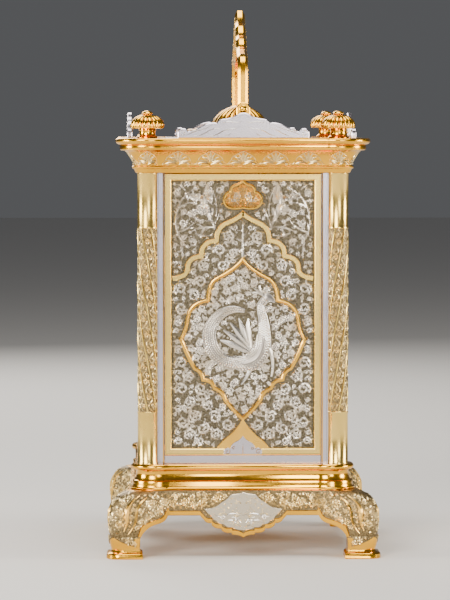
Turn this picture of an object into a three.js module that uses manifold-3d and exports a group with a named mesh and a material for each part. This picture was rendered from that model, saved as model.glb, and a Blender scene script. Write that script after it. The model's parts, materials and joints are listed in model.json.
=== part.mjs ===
// Gilt and silvered carriage clock, with its case, movement, dial and folding handle.
// Millimetres, +Z up. The dial looks along -Y, and X is the clock's width.
// The origin is on the table, under the middle of the case.

import * as THREE from 'three';
import { mergeVertices } from 'three/addons/utils/BufferGeometryUtils.js';
import Module from 'manifold-3d';

const wasm = await Module();
wasm.setup();

// ---------------------------------------------------------------- driving dimensions

// Case plan: the four column axes, and how much wider the case is than it is deep.
const COLUMN_Y = 34.4;
const WIDER = 5.2;
const COLUMN_X = COLUMN_Y + WIDER;
const COLUMN_RADIUS = 3.75;

// Heights above the table.
const SLAB_TOP = 2.3;
const SHOE_TOP = 7.5;
const SKIRT_TOP = 23.8;
const BASE_PLATE_TOP = 30;
const PLINTH_TOP = 33;
const BODY_TOP = 138;
const CORNICE_TOP = 150.5;
const PIVOT_Z = 160.9;

// Skirt and legs, measured from the middle of the case on its narrow side.
const APRON_FACE = 40.5;
const APRON_THICKNESS = 3;
const APRON_EDGE_Z = 14.8;
const LEG_CORNER = 3;

// How far the arc centres of the base moulding stand inside the column axes.
const BULGE_INSET = 3;

// Case walls.
const WALL_FACE = 0.6;
const POST_INNER = 28.4;
const POST_LEAF = 2;
const PANEL_HALF = 28.2;
const PANEL_THICKNESS = 1.5;
const FRAME_BAR = 2.6;
const RAIL_TOP = 36;
const CORE_HALF_X = 33;
const CORE_HALF_Y = 28;

// Crests, finials and dome on the roof.
const CREST_THICKNESS = 1.8;
const CREST_INSET = 4.4;
const DOME_RADIUS = 10.8;

// Handle.
const ARM_OUTER = 39.2;
const ARM_WIDTH = 3.2;
const HANDLE_THICKNESS = 3.6;
const PIN_RADIUS = 1;
const FOOT_HALF_WIDTH = 2.45;
const FOOT_WIDTH = 4;

// Glass panes, dial, mask and hands in depth, from the outside inwards: [front, back] along Y.
const FRONT_FRAME_THICKNESS = 3.4;
const GLASS_THICKNESS = 1.2;
const GLASS_CLEARANCE = 0.1;
const MINUTE_HAND_Y = [-30, -29.5];
const HOUR_HAND_Y = [-28.9, -28.4];
const MASK_Y = [-27.9, -26.9];
const DIAL_Y = [-26.7, -25.7];

// Rear door.
const DOOR_THICKNESS = 3;
const DOOR_HALF = 33.2;
const DOOR_MIDDLE_Y = 33.4;
const DOOR_PIN_RADIUS = 0.8;
const DOOR_AXIS_X = DOOR_HALF - DOOR_THICKNESS / 2;
const KNOB_X = 30.4;
const KNOB_Z = 86;

// Movement. Arbors lie along Y between two plates, and the escapement stands on a platform above.
const CENTRE_Z = 90;
const PLATE_HALF = 23;
const PLATE_INNER_Y = 12.2;
const PLATE_THICKNESS = 1.8;
const PLATFORM_Z = 118;
const PLATFORM_THICKNESS = 1.5;
const PIVOT_RADIUS = 0.5;
const FAR_Y = PLATE_INNER_Y + PLATE_THICKNESS;
const ARBOR_RADIUS = 0.9;
const STUD_RADIUS = 0.8;
const CANNON_RADIUS = 1.5;
const CENTRE_TIP_RADIUS = 0.7;
const DIAL_RADIUS = 25.5;

// Clearance between pieces that turn or sit in each other.
const GAP = 0.3;

// Wheels and pinions: tooth counts and modules.
const BARREL = { teeth: 60, module: 0.55 };
const CENTRE_PINION = { teeth: 12, module: 0.55 };
const CENTRE = { teeth: 48, module: 0.4 };
const THIRD_PINION = { teeth: 6, module: 0.4 };
const THIRD = { teeth: 45, module: 0.36 };
const CONTRATE_PINION = { teeth: 6, module: 0.36 };
const CONTRATE = { teeth: 48, module: 0.3125 };
const ESCAPE_PINION = { teeth: 6, module: 0.3125 };
const CANNON = { teeth: 10, module: 0.5 };
const MINUTE = { teeth: 30, module: 0.5 };
const MINUTE_PINION = { teeth: 8, module: 0.5 };
const HOUR = { teeth: 32, module: 0.5 };

// Crown teeth of the contrate wheel, along Y.
const CROWN_ROOT_Y = 2.1;
const CROWN_MIDDLE_Y = 2.7;
const CROWN_TIP_Y = 2.95;
const CROWN_HALF_WIDTH = 0.45;

// Escapement on the platform: distances along X from the escape wheel's arbor.
const ESCAPE_TEETH = 15;
const ESCAPE_WHEEL_RADIUS = 4;
const ESCAPE_ROOT_RADIUS = ESCAPE_WHEEL_RADIUS - 1.1;
const LEVER_OFFSET = 5.4;
const BALANCE_OFFSET = 11.8;
const BALANCE_RADIUS = 6.4;
const BALANCE_RIM = 1.1;

// Hands at ten past ten, as clockwise turns from twelve.
const HOUR_HAND_TURN = -Math.PI / 3 + Math.PI / 36;
const MINUTE_HAND_TURN = Math.PI / 3;

// ---------------------------------------------------------------- finishes

const FINISHES = {
  gilt: { color: 0xd9a24a, roughness: 0.28, metalness: 1 },
  paleGilt: { color: 0xe6cf8e, roughness: 0.25, metalness: 1 },
  silvered: { color: 0xd8d6d2, roughness: 0.3, metalness: 1 },
  brass: { color: 0xc9a25a, roughness: 0.35, metalness: 1 },
  steel: { color: 0x9a9ca0, roughness: 0.3, metalness: 1 },
  blued: { color: 0x1b2a5c, roughness: 0.25, metalness: 1 },
  enamel: { color: 0xf4f1e8, roughness: 0.2, metalness: 0 },
  glass: { color: 0xe8f0f0, roughness: 0.05, metalness: 0 },
};

const clock = new THREE.Group();

/** Adds one named piece with a finish of its own. */
function addPiece(name, geometry, finish) {
  const mesh = new THREE.Mesh(geometry, new THREE.MeshStandardMaterial(FINISHES[finish]));
  mesh.name = name;
  clock.add(mesh);
}

const CORNERS = [
  ['front_left', -1, -1],
  ['front_right', 1, -1],
  ['rear_left', -1, 1],
  ['rear_right', 1, 1],
];

// ---------------------------------------------------------------- shape helpers

/** Position-only copy with shared vertices merged. */
function weld(geometry) {
  const bare = geometry.clone();
  bare.deleteAttribute('normal');
  bare.deleteAttribute('uv');
  return mergeVertices(bare, 1e-4);
}

/** Geometry as a manifold solid. */
function toSolid(geometry) {
  const welded = weld(geometry);
  return new wasm.Manifold(new wasm.Mesh({
    numProp: 3,
    vertProperties: new Float32Array(welded.attributes.position.array),
    triVerts: new Uint32Array(welded.index.array),
  }));
}

/** Manifold solid back as a geometry. */
function toGeometry(solid) {
  const mesh = solid.getMesh();
  const geometry = new THREE.BufferGeometry();
  geometry.setAttribute('position', new THREE.BufferAttribute(mesh.vertProperties, 3));
  geometry.setIndex(new THREE.BufferAttribute(mesh.triVerts, 1));
  return geometry;
}

/** One solid from several that overlap. */
function join(...pieces) {
  return toGeometry(pieces.map(toSolid).reduce((sum, piece) => sum.add(piece)));
}

/** A solid with others taken out of it. */
function cut(body, ...tools) {
  return toGeometry(tools.map(toSolid).reduce((rest, tool) => rest.subtract(tool), toSolid(body)));
}

/** Box between two corners. */
function box(x0, x1, y0, y1, z0, z1) {
  const geometry = new THREE.BoxGeometry(x1 - x0, y1 - y0, z1 - z0);
  return geometry.translate((x0 + x1) / 2, (y0 + y1) / 2, (z0 + z1) / 2);
}

/** Outline in X and Y, given thickness along Z. */
function slabZ(shape, z0, z1, curveSegments = 6) {
  const geometry = new THREE.ExtrudeGeometry(shape, {
    depth: z1 - z0, bevelEnabled: false, curveSegments, steps: 1,
  });
  return geometry.translate(0, 0, z0);
}

/** Outline in X and Z, given thickness along Y. */
function slabY(shape, y0, y1, curveSegments = 6) {
  const geometry = slabZ(shape, 0, y1 - y0, curveSegments);
  return geometry.rotateX(Math.PI / 2).translate(0, y1, 0);
}

/** Outline in Y and Z, given thickness along X. */
function slabX(shape, x0, x1, curveSegments = 6) {
  const turn = new THREE.Matrix4().makeBasis(
    new THREE.Vector3(0, 1, 0), new THREE.Vector3(0, 0, 1), new THREE.Vector3(1, 0, 0),
  );
  return slabZ(shape, x0, x1, curveSegments).applyMatrix4(turn);
}

/** Shape through points, closed back to the first. */
function outline(points) {
  return new THREE.Shape(points.map(([u, v]) => new THREE.Vector2(u, v)));
}

/** Round hole of a shape. */
function roundHole(u, v, radius) {
  return new THREE.Path().absarc(u, v, radius, 0, 2 * Math.PI, true);
}

/** Closed outline from its right half, listed from one end of the middle line to the other. */
function mirroredOutline(half) {
  const left = half.filter(([u]) => u > 0).map(([u, v]) => [-u, v]).reverse();
  return outline([...half, ...left]);
}

/** Turned piece about a line along Y, from [radius, y] points. */
function turnedY(profile, x, z, segments = 12) {
  const points = profile.map(([radius, y]) => new THREE.Vector2(radius, y));
  return new THREE.LatheGeometry(points, segments).translate(x, 0, z);
}

/** Turned piece about a vertical line, from [radius, z] points. */
function turnedZ(profile, x, y, segments = 12) {
  const points = profile.map(([radius, z]) => new THREE.Vector2(radius, z));
  return new THREE.LatheGeometry(points, segments).rotateX(Math.PI / 2).translate(x, y, 0);
}

/** Turned piece about a line along X, from [radius, x] points. */
function turnedX(profile, y, z, segments = 12) {
  const points = profile.map(([radius, x]) => new THREE.Vector2(radius, x));
  return new THREE.LatheGeometry(points, segments).rotateZ(-Math.PI / 2).translate(0, y, z);
}

/** Plain rod profile for the turned helpers. */
function rod(radius, start, end) {
  return [[0, start], [radius, start], [radius, end], [0, end]];
}

/** Tube profile for the turned helpers. */
function tube(inner, outer, start, end) {
  return [[inner, start], [outer, start], [outer, end], [inner, end], [inner, start]];
}

/** Reflects a piece into another corner of the case and keeps its faces outward. */
function intoCorner(geometry, sideX, sideY) {
  const placed = weld(geometry).scale(sideX, sideY, 1);
  if (sideX * sideY < 0) {
    const index = placed.index.array;
    for (let i = 0; i < index.length; i += 3) {
      [index[i + 1], index[i + 2]] = [index[i + 2], index[i + 1]];
    }
  }
  return placed;
}

/** Faces between neighbouring loops of equal length. */
function bandFaces(loops, loopPairs) {
  const count = loops[0].length;
  const faces = [];
  for (const [a, b] of loopPairs) {
    for (let i = 0; i < count; i += 1) {
      const j = (i + 1) % count;
      faces.push(a * count + i, a * count + j, b * count + j);
      faces.push(a * count + i, b * count + j, b * count + i);
    }
  }
  return faces;
}

/** Geometry from loops of [x, y, z] points and a list of faces. */
function fromLoops(loops, faces) {
  const geometry = new THREE.BufferGeometry();
  geometry.setAttribute('position', new THREE.Float32BufferAttribute(loops.flat(2), 3));
  geometry.setIndex(faces);
  return geometry;
}

/** Ring whose section runs through every loop and back to the first. */
function ringOfLoops(loops) {
  const pairs = loops.map((_, a) => [a, (a + 1) % loops.length]);
  return fromLoops(loops, bandFaces(loops, pairs));
}

/** Solid stacked from convex loops, lowest first, closed by its two end loops. */
function stackOfLoops(loops) {
  const pairs = loops.slice(1).map((_, a) => [a, a + 1]);
  const faces = bandFaces(loops, pairs);
  const count = loops[0].length;
  const top = (loops.length - 1) * count;
  for (let i = 1; i < count - 1; i += 1) {
    faces.push(0, i + 1, i);
    faces.push(top, top + i, top + i + 1);
  }
  return fromLoops(loops, faces);
}

const PLAN_STEPS = 6;

/** Plan of a moulding: straight sides that break out in a round bulge at each column. */
function mouldingPlan(z, edge, bulge, inset = 0) {
  const radius = bulge + inset;
  const start = -Math.acos((edge + inset) / radius);
  return planLoop(z, COLUMN_X - inset, COLUMN_Y - inset, radius, start);
}

/** Plan of a plain rectangle with small round corners. */
function plainPlan(z, halfX, halfY) {
  const radius = 1;
  return planLoop(z, halfX - radius, halfY - radius, radius, 0);
}

/** Loop with an arc about each of four centres, from the start angle to its mirror. */
function planLoop(z, centreX, centreY, radius, start) {
  const loop = [];
  const quarter = [];
  for (let i = 0; i <= PLAN_STEPS; i += 1) {
    const angle = start + (i / PLAN_STEPS) * (Math.PI / 2 - 2 * start);
    quarter.push([centreX + radius * Math.cos(angle), centreY + radius * Math.sin(angle)]);
  }
  const back = [...quarter].reverse();
  loop.push(...quarter.map(([x, y]) => [x, y, z]));
  loop.push(...back.map(([x, y]) => [-x, y, z]));
  loop.push(...quarter.map(([x, y]) => [-x, -y, z]));
  loop.push(...back.map(([x, y]) => [x, -y, z]));
  return loop;
}

// ---------------------------------------------------------------- skirt, legs and shoes

// Half outline of the apron's lower edge, from the middle: a cusped pendant, then a straight edge.
const PENDANT = [[0, 6.7], [4, 7.8], [7.6, 9.2], [11.2, 11.1], [12.4, 12.2], [15.4, APRON_EDGE_Z]];
const LEG_CURVE = [[27.2, APRON_EDGE_Z], [28.6, 12.9], [30.4, 12.1], [33.2, 11], [35.2, 9.7], [36.6, 8.2]];

// Leg sections: height, inner face and outer face, measured on the narrow side.
const LEG_SECTIONS = [
  [SHOE_TOP, 37.1, 48.1], [9.6, 35.9, 48.5], [11, 34.4, 48.7], [15.7, 34, 48.9], [19.9, 34, 47.7],
  [22.6, 34, 45.6], [SKIRT_TOP, 34, 42.5],
];
const SHOE_SECTIONS = [
  [0, 36.2, 49.3], [SLAB_TOP, 36.5, 48.9], [SLAB_TOP, 37.2, 47.7], [4.7, 37.4, 48], [SHOE_TOP, 37.1, 48.1],
];

/** Five-sided section of a corner leg, with its outer corner taken off. */
function legSection([z, inner, outer]) {
  const outerX = outer + WIDER;
  const innerX = inner + WIDER;
  return [
    [innerX, inner, z], [outerX, inner, z], [outerX, outer - LEG_CORNER, z],
    [outerX - LEG_CORNER, outer, z], [innerX, outer, z],
  ];
}

/** Apron outline whose leg curves stand further apart by the given stretch. */
function apronOutline(stretch) {
  const legs = LEG_CURVE.map(([u, v]) => [u + stretch, v]);
  const end = APRON_FACE - 2.5 + stretch;
  const bottom = LEG_CURVE.at(-1)[1];
  return mirroredOutline([...PENDANT, ...legs, [end, bottom], [end, SKIRT_TOP], [0, SKIRT_TOP]]);
}

function addSkirt() {
  const back = APRON_FACE - APRON_THICKNESS;
  const pieces = CORNERS.map(([, sideX, sideY]) => (
    intoCorner(stackOfLoops(LEG_SECTIONS.map(legSection)), sideX, sideY)
  ));
  pieces.push(slabY(apronOutline(WIDER), -APRON_FACE, -back));
  pieces.push(slabY(apronOutline(WIDER), back, APRON_FACE));
  pieces.push(slabX(apronOutline(0), -APRON_FACE - WIDER, -back - WIDER));
  pieces.push(slabX(apronOutline(0), back + WIDER, APRON_FACE + WIDER));
  addPiece('skirt', join(...pieces), 'gilt');
  for (const [corner, sideX, sideY] of CORNERS) {
    const lower = stackOfLoops(SHOE_SECTIONS.slice(0, 2).map(legSection));
    const upper = stackOfLoops(SHOE_SECTIONS.slice(2).map(legSection));
    addPiece(`foot_shoe_${corner}`, intoCorner(join(lower, upper), sideX, sideY), 'gilt');
  }
}

// ---------------------------------------------------------------- base and cornice

function addBase() {
  const steps = [
    [SKIRT_TOP, 4.9, 6.3], [24.8, 4.9, 6.3], [25, 4.1, 5.5], [27, 4.1, 5.5], [27.6, 3.1, 4.5],
    [30.6, 2.6, 4], [31, 4, 5.4], [32, 4.5, 5.9], [PLINTH_TOP, 4, 5.4],
  ];
  const loops = steps.map(([z, edge, bulge]) => mouldingPlan(z, edge, bulge, BULGE_INSET));
  loops.push(plainPlan(PLINTH_TOP, CORE_HALF_X, CORE_HALF_Y));
  loops.push(plainPlan(SKIRT_TOP, CORE_HALF_X, CORE_HALF_Y));
  const socket = turnedZ(rod(DOOR_PIN_RADIUS + GAP, 31.7, PLINTH_TOP + 1), -DOOR_AXIS_X, DOOR_MIDDLE_Y, 8);
  addPiece('base_moulding', cut(ringOfLoops(loops), socket), 'gilt');
  const plateX = CORE_HALF_X - GAP;
  const plateY = CORE_HALF_Y - GAP;
  const plate = box(-plateX, plateX, -plateY, plateY, BASE_PLATE_TOP - 3, BASE_PLATE_TOP);
  addPiece('base_plate', plate, 'brass');
}

function addCornice() {
  const steps = [
    [BODY_TOP, 2.5, 3.7], [139.7, 3.6, 5], [139.8, 4, 5.4], [140.6, 4, 5.4], [140.7, 3.8, 5.2],
    [144, 4.8, 6.2], [146.2, 6.7, 8.1], [146.3, 8.4, 9.9], [148.3, 8.4, 9.9], [148.6, 9.6, 11.1],
    [149.5, 10.1, 11.7], [CORNICE_TOP, 9.6, 11.1],
  ];
  const loops = steps.map(([z, edge, bulge]) => mouldingPlan(z, edge, bulge));
  loops.push(plainPlan(CORNICE_TOP, CORE_HALF_X, CORE_HALF_Y));
  loops.push(plainPlan(BODY_TOP, CORE_HALF_X, CORE_HALF_Y));
  const socket = turnedZ(rod(DOOR_PIN_RADIUS + GAP, BODY_TOP - 1, 139.3), -DOOR_AXIS_X, DOOR_MIDDLE_Y, 8);
  addPiece('cornice', cut(ringOfLoops(loops), socket), 'gilt');
  const plateX = CORE_HALF_X - GAP;
  const plateY = CORE_HALF_Y - GAP;
  const plate = box(-plateX, plateX, -plateY, plateY, CORNICE_TOP - 2.5, CORNICE_TOP);
  addPiece('roof_plate', plate, 'silvered');
}

// ---------------------------------------------------------------- columns, posts and walls

function addColumnsAndPosts() {
  const r = COLUMN_RADIUS;
  const profile = [
    [0, PLINTH_TOP], [r, PLINTH_TOP], [r, 52], [r - 0.2, 52.6], [r - 0.2, 117.4], [r, 118],
    [r, BODY_TOP], [0, BODY_TOP],
  ];
  const faceX = COLUMN_X + WALL_FACE;
  const faceY = COLUMN_Y + WALL_FACE;
  const innerX = POST_INNER + WIDER;
  const post = outline([
    [innerX, POST_INNER], [faceX, POST_INNER], [faceX, POST_INNER + POST_LEAF],
    [innerX + POST_LEAF, POST_INNER + POST_LEAF], [innerX + POST_LEAF, faceY], [innerX, faceY],
  ]);
  for (const [corner, sideX, sideY] of CORNERS) {
    addPiece(`column_${corner}`, turnedZ(profile, sideX * COLUMN_X, sideY * COLUMN_Y, 16), 'paleGilt');
    const leaf = intoCorner(slabZ(post, PLINTH_TOP, BODY_TOP), sideX, sideY);
    addPiece(`corner_post_${corner}`, leaf, 'silvered');
  }
}

/** Frame outline with a square window. */
function frameOutline(halfWidth, bottom, top, bar, bottomBar = bar) {
  const frame = outline([[-halfWidth, bottom], [halfWidth, bottom], [halfWidth, top], [-halfWidth, top]]);
  const inner = halfWidth - bar;
  frame.holes.push(outline([
    [-inner, bottom + bottomBar], [-inner, top - bar], [inner, top - bar], [inner, bottom + bottomBar],
  ]));
  return frame;
}

function addSideWalls() {
  const face = COLUMN_X + WALL_FACE;
  const panelFace = face - 1.9;
  const top = BODY_TOP - GAP;
  for (const [name, side] of [['left', -1], ['right', 1]]) {
    const plate = box(
      panelFace - PANEL_THICKNESS, panelFace, -PANEL_HALF, PANEL_HALF, PLINTH_TOP, top,
    );
    const rail = box(panelFace - 0.5, face, -PANEL_HALF, PANEL_HALF, PLINTH_TOP, RAIL_TOP);
    addPiece(`side_panel_${name}`, intoCorner(join(plate, rail), side, 1), 'silvered');
    const shape = frameOutline(PANEL_HALF, RAIL_TOP + 0.1, top, FRAME_BAR);
    const frame = slabX(shape, panelFace + 0.1, face + 0.3);
    addPiece(`side_frame_${name}`, intoCorner(frame, side, 1), 'paleGilt');
  }
}

function addFrontWall() {
  const face = COLUMN_Y + WALL_FACE;
  const back = face - FRONT_FRAME_THICKNESS;
  const top = BODY_TOP - GAP;
  const frame = frameOutline(DOOR_HALF, PLINTH_TOP + GAP, top, 5, 6);
  addPiece('front_frame', slabY(frame, -face, -back), 'paleGilt');
  const glass = outline([[-29.4, 38], [29.4, 38], [29.4, 134], [-29.4, 134]]);
  const glassFace = -back + GLASS_CLEARANCE;
  addPiece('front_glass', slabY(glass, glassFace, glassFace + GLASS_THICKNESS), 'glass');
  const mask = outline([[-33, PLINTH_TOP + GAP], [33, PLINTH_TOP + GAP], [33, top], [-33, top]]);
  mask.holes.push(roundHole(0, CENTRE_Z, DIAL_RADIUS - 2));
  addPiece('dial_mask', slabY(mask, ...MASK_Y, 12), 'silvered');
}

function addRearDoor() {
  const half = DOOR_THICKNESS / 2;
  const bottom = PLINTH_TOP + 0.4;
  const top = BODY_TOP - 0.4;
  const hung = -DOOR_AXIS_X;
  const frame = outline([[hung, bottom], [DOOR_HALF, bottom], [DOOR_HALF, top], [hung, top]]);
  frame.holes.push(outline([[-27.6, 41], [-27.6, 132], [27.6, 132], [27.6, 41]]));
  const leaf = slabY(frame, DOOR_MIDDLE_Y - half, DOOR_MIDDLE_Y + half);
  const edge = turnedZ(rod(half, bottom, top), -DOOR_AXIS_X, DOOR_MIDDLE_Y, 12);
  const pins = turnedZ(rod(DOOR_PIN_RADIUS, 32, 139), -DOOR_AXIS_X, DOOR_MIDDLE_Y, 8);
  addPiece('rear_door_frame', join(leaf, edge, pins), 'paleGilt');
  const glass = outline([[-28.6, 40], [28.6, 40], [28.6, 133], [-28.6, 133]]);
  const glassFace = DOOR_MIDDLE_Y - half - GLASS_CLEARANCE;
  addPiece('rear_door_glass', slabY(glass, glassFace - GLASS_THICKNESS, glassFace), 'glass');
  const start = DOOR_MIDDLE_Y + half + 0.05;
  const knob = [
    [0, start], [1.1, start], [1, start + 1.6], [1.9, start + 2.2], [1.7, start + 3.4], [0, start + 3.8],
  ];
  addPiece('door_knob', turnedY(knob, KNOB_X, KNOB_Z, 10), 'gilt');
}

// ---------------------------------------------------------------- roof: crests, finials, dome

// Half outline of a crest plate above the roof: a peak, two steps and an end lobe.
const CREST = [
  [23.6, 0], [22.4, 3.5], [20.6, 3.9], [19, 3.3], [15.6, 4.2], [11.2, 5.6], [9.2, 6.2], [8, 7.3],
  [3, 8.3], [0, 9.2],
];

/** Crest outline standing on the roof, with its length scaled. */
function crestOutline(stretch) {
  return mirroredOutline([[0, CORNICE_TOP], ...CREST.map(([u, v]) => [u * stretch, v + CORNICE_TOP])]);
}

function addRoofOrnaments() {
  const outerX = COLUMN_X + 11.7 - CREST_INSET;
  const outerY = COLUMN_Y + 11.7 - CREST_INSET;
  addPiece('crest_left', slabX(crestOutline(1), -outerX, CREST_THICKNESS - outerX), 'silvered');
  addPiece('crest_right', slabX(crestOutline(1), outerX - CREST_THICKNESS, outerX), 'silvered');
  const stretch = 1 + WIDER / COLUMN_Y;
  addPiece('crest_front', slabY(crestOutline(stretch), -outerY, CREST_THICKNESS - outerY), 'silvered');
  addPiece('crest_rear', slabY(crestOutline(stretch), outerY - CREST_THICKNESS, outerY), 'silvered');

  const up = CORNICE_TOP;
  const finial = [
    [0, up], [3.8, up], [3.8, up + 0.7], [2.9, up + 0.9], [2.9, up + 3.5], [5.3, up + 3.9],
    [6.1, up + 5.5], [5.3, up + 7.4], [2.6, up + 8.4], [1.6, up + 8.6], [2.3, up + 9.2], [0, up + 9.9],
  ];
  for (const [corner, sideX, sideY] of CORNERS) {
    addPiece(`finial_${corner}`, turnedZ(finial, sideX * COLUMN_X, sideY * COLUMN_Y, 12), 'gilt');
  }
  const dome = [
    [0, up], [DOME_RADIUS, up], [DOME_RADIUS, up + 1.2], [10, up + 1.6], [10.6, up + 3.8],
    [9.9, up + 6.2], [8.3, up + 8.4], [5.2, up + 10.7], [2, up + 11.9], [0, up + 12.1],
  ];
  addPiece('roof_dome', turnedZ(dome, 0, 0, 20), 'gilt');
}

// ---------------------------------------------------------------- handle

/** Handle seen from the front: two straight arms, round shoulders and a stepped, pointed crown. */
function handleOutline() {
  const inner = ARM_OUTER - ARM_WIDTH;
  const low = PIVOT_Z - HANDLE_THICKNESS / 2;
  const shape = new THREE.Shape();
  shape.moveTo(ARM_OUTER, low);
  shape.lineTo(ARM_OUTER, 172.5);
  shape.quadraticCurveTo(ARM_OUTER, 181.4, 30.5, 181.4);
  shape.lineTo(27.6, 182.7);
  shape.quadraticCurveTo(21.6, 183.2, 20, 187);
  shape.quadraticCurveTo(13, 187.2, 11, 191.6);
  shape.quadraticCurveTo(3.6, 192.6, 0, 197.5);
  shape.quadraticCurveTo(-3.6, 192.6, -11, 191.6);
  shape.quadraticCurveTo(-13, 187.2, -20, 187);
  shape.quadraticCurveTo(-21.6, 183.2, -27.6, 182.7);
  shape.lineTo(-30.5, 181.4);
  shape.quadraticCurveTo(-ARM_OUTER, 181.4, -ARM_OUTER, 172.5);
  shape.lineTo(-ARM_OUTER, low);
  shape.lineTo(-inner, low);
  shape.lineTo(-inner, 172.5);
  shape.quadraticCurveTo(-inner, 178, -29, 178.2);
  shape.quadraticCurveTo(-20, 178.8, -17.6, 183);
  shape.quadraticCurveTo(-10.4, 183.4, -8.6, 187.6);
  shape.quadraticCurveTo(-3, 188.4, 0, 192.2);
  shape.quadraticCurveTo(3, 188.4, 8.6, 187.6);
  shape.quadraticCurveTo(10.4, 183.4, 17.6, 183);
  shape.quadraticCurveTo(20, 178.8, 29, 178.2);
  shape.quadraticCurveTo(inner, 178, inner, 172.5);
  shape.lineTo(inner, low);
  return shape;
}

function addHandle() {
  const half = HANDLE_THICKNESS / 2;
  const bore = turnedX(rod(PIN_RADIUS + GAP, -60, 60), 0, PIVOT_Z, 10);
  addPiece('handle', cut(slabY(handleOutline(), -half, half, 4), bore), 'gilt');

  const foot = new THREE.Shape();
  foot.moveTo(FOOT_HALF_WIDTH, PIVOT_Z);
  foot.absarc(0, PIVOT_Z, FOOT_HALF_WIDTH, 0, Math.PI, false);
  foot.lineTo(-FOOT_HALF_WIDTH, CORNICE_TOP + 2.6);
  foot.lineTo(-3.4, CORNICE_TOP + 1.2);
  foot.lineTo(-3.4, CORNICE_TOP);
  foot.lineTo(3.4, CORNICE_TOP);
  foot.lineTo(3.4, CORNICE_TOP + 1.2);
  foot.lineTo(FOOT_HALF_WIDTH, CORNICE_TOP + 2.6);
  foot.holes.push(roundHole(0, PIVOT_Z, PIN_RADIUS + GAP));
  const start = ARM_OUTER + GAP;
  const end = start + FOOT_WIDTH;
  const r = PIN_RADIUS;
  const pin = [
    [0, ARM_OUTER - ARM_WIDTH - 0.4], [r, ARM_OUTER - ARM_WIDTH - 0.4], [r, end + 0.1],
    [1.4, end + 0.1], [1.4, end + 0.4], [1, end + 0.6], [0, end + 0.6],
  ];
  for (const [name, side] of [['left', -1], ['right', 1]]) {
    addPiece(`handle_foot_${name}`, intoCorner(slabX(foot, start, end, 5), side, 1), 'gilt');
    addPiece(`handle_pin_${name}`, intoCorner(turnedX(pin, 0, PIVOT_Z, 10), side, 1), 'gilt');
  }
}

// ---------------------------------------------------------------- wheels

/** Pitch radius of a wheel or pinion. */
function pitchRadius({ teeth, module }) {
  return (teeth * module) / 2;
}

/** Wheel outline with pointed teeth, one of them at the given angle. */
function wheelOutline({ teeth, module }, toothAngle) {
  const radius = pitchRadius({ teeth, module });
  const tip = radius + 0.8 * module;
  const root = radius - 1.1 * module;
  const pitch = (2 * Math.PI) / teeth;
  const points = [];
  for (let i = 0; i < teeth; i += 1) {
    const angle = toothAngle + i * pitch;
    for (const [offset, r] of [[-0.25, root], [0, tip], [0.25, root]]) {
      points.push([r * Math.cos(angle + offset * pitch), r * Math.sin(angle + offset * pitch)]);
    }
  }
  return outline(points);
}

/** Toothed disc on a line along Y. */
function wheelY(gear, x, z, y0, y1, toothAngle) {
  return slabY(wheelOutline(gear, toothAngle), y0, y1).translate(x, 0, z);
}

/** Half a tooth space of a gear, which turns a tooth into a gap. */
function halfPitch({ teeth }) {
  return Math.PI / teeth;
}

/** Direction from one arbor to another. */
function bearing(from, to) {
  return Math.atan2(to.z - from.z, to.x - from.x);
}

/** Arbor placed a centre distance away, at an angle. */
function arborAt(from, distance, angle) {
  return { x: from.x + distance * Math.cos(angle), z: from.z + distance * Math.sin(angle) };
}

const centreArbor = { x: 0, z: CENTRE_Z };
const barrelArbor = arborAt(centreArbor, pitchRadius(BARREL) + pitchRadius(CENTRE_PINION), -Math.PI / 2);
const thirdArbor = arborAt(centreArbor, pitchRadius(CENTRE) + pitchRadius(THIRD_PINION), 2.23);
const contrateArbor = arborAt(thirdArbor, pitchRadius(THIRD) + pitchRadius(CONTRATE_PINION), 1.17);
const minuteArbor = arborAt(centreArbor, pitchRadius(CANNON) + pitchRadius(MINUTE), -0.64);

/** Arbor between the plates, with a pivot at each end. */
function pivotedArbor(arbor) {
  const shoulder = PLATE_INNER_Y - GAP;
  const profile = [
    [0, -FAR_Y], [PIVOT_RADIUS, -FAR_Y], [PIVOT_RADIUS, -shoulder], [ARBOR_RADIUS, -shoulder],
    [ARBOR_RADIUS, shoulder], [PIVOT_RADIUS, shoulder], [PIVOT_RADIUS, FAR_Y], [0, FAR_Y],
  ];
  return turnedY(profile, arbor.x, arbor.z, 8);
}

function addPlates() {
  const bottom = BASE_PLATE_TOP;
  const plate = outline([
    [-PLATE_HALF, bottom], [PLATE_HALF, bottom], [PLATE_HALF, PLATFORM_Z], [-PLATE_HALF, PLATFORM_Z],
  ]);
  const pivotHole = PIVOT_RADIUS + GAP;
  plate.holes.push(roundHole(barrelArbor.x, barrelArbor.z, 1.5));
  plate.holes.push(roundHole(thirdArbor.x, thirdArbor.z, pivotHole));
  plate.holes.push(roundHole(contrateArbor.x, contrateArbor.z, pivotHole));
  const rear = plate.clone();
  rear.holes.push(roundHole(centreArbor.x, centreArbor.z, pivotHole));
  plate.holes.push(roundHole(centreArbor.x, centreArbor.z, ARBOR_RADIUS + GAP));

  const pillars = [];
  for (const x of [-19.5, 19.5]) {
    for (const z of [36, 113]) {
      const profile = [
        [0, -PLATE_INNER_Y - 1], [2.2, -PLATE_INNER_Y - 1], [2.2, PLATE_INNER_Y - 0.1],
        [0, PLATE_INNER_Y - 0.1],
      ];
      pillars.push(turnedY(profile, x, z, 10));
    }
  }
  const stud = turnedY(rod(STUD_RADIUS, -21, -FAR_Y + 1), minuteArbor.x, minuteArbor.z, 8);
  const front = slabY(plate, -FAR_Y, -PLATE_INNER_Y, 3);
  addPiece('movement_front_plate', join(front, ...pillars, stud), 'brass');
  addPiece('movement_rear_plate', slabY(rear, PLATE_INNER_Y, FAR_Y, 3), 'brass');
}

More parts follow.
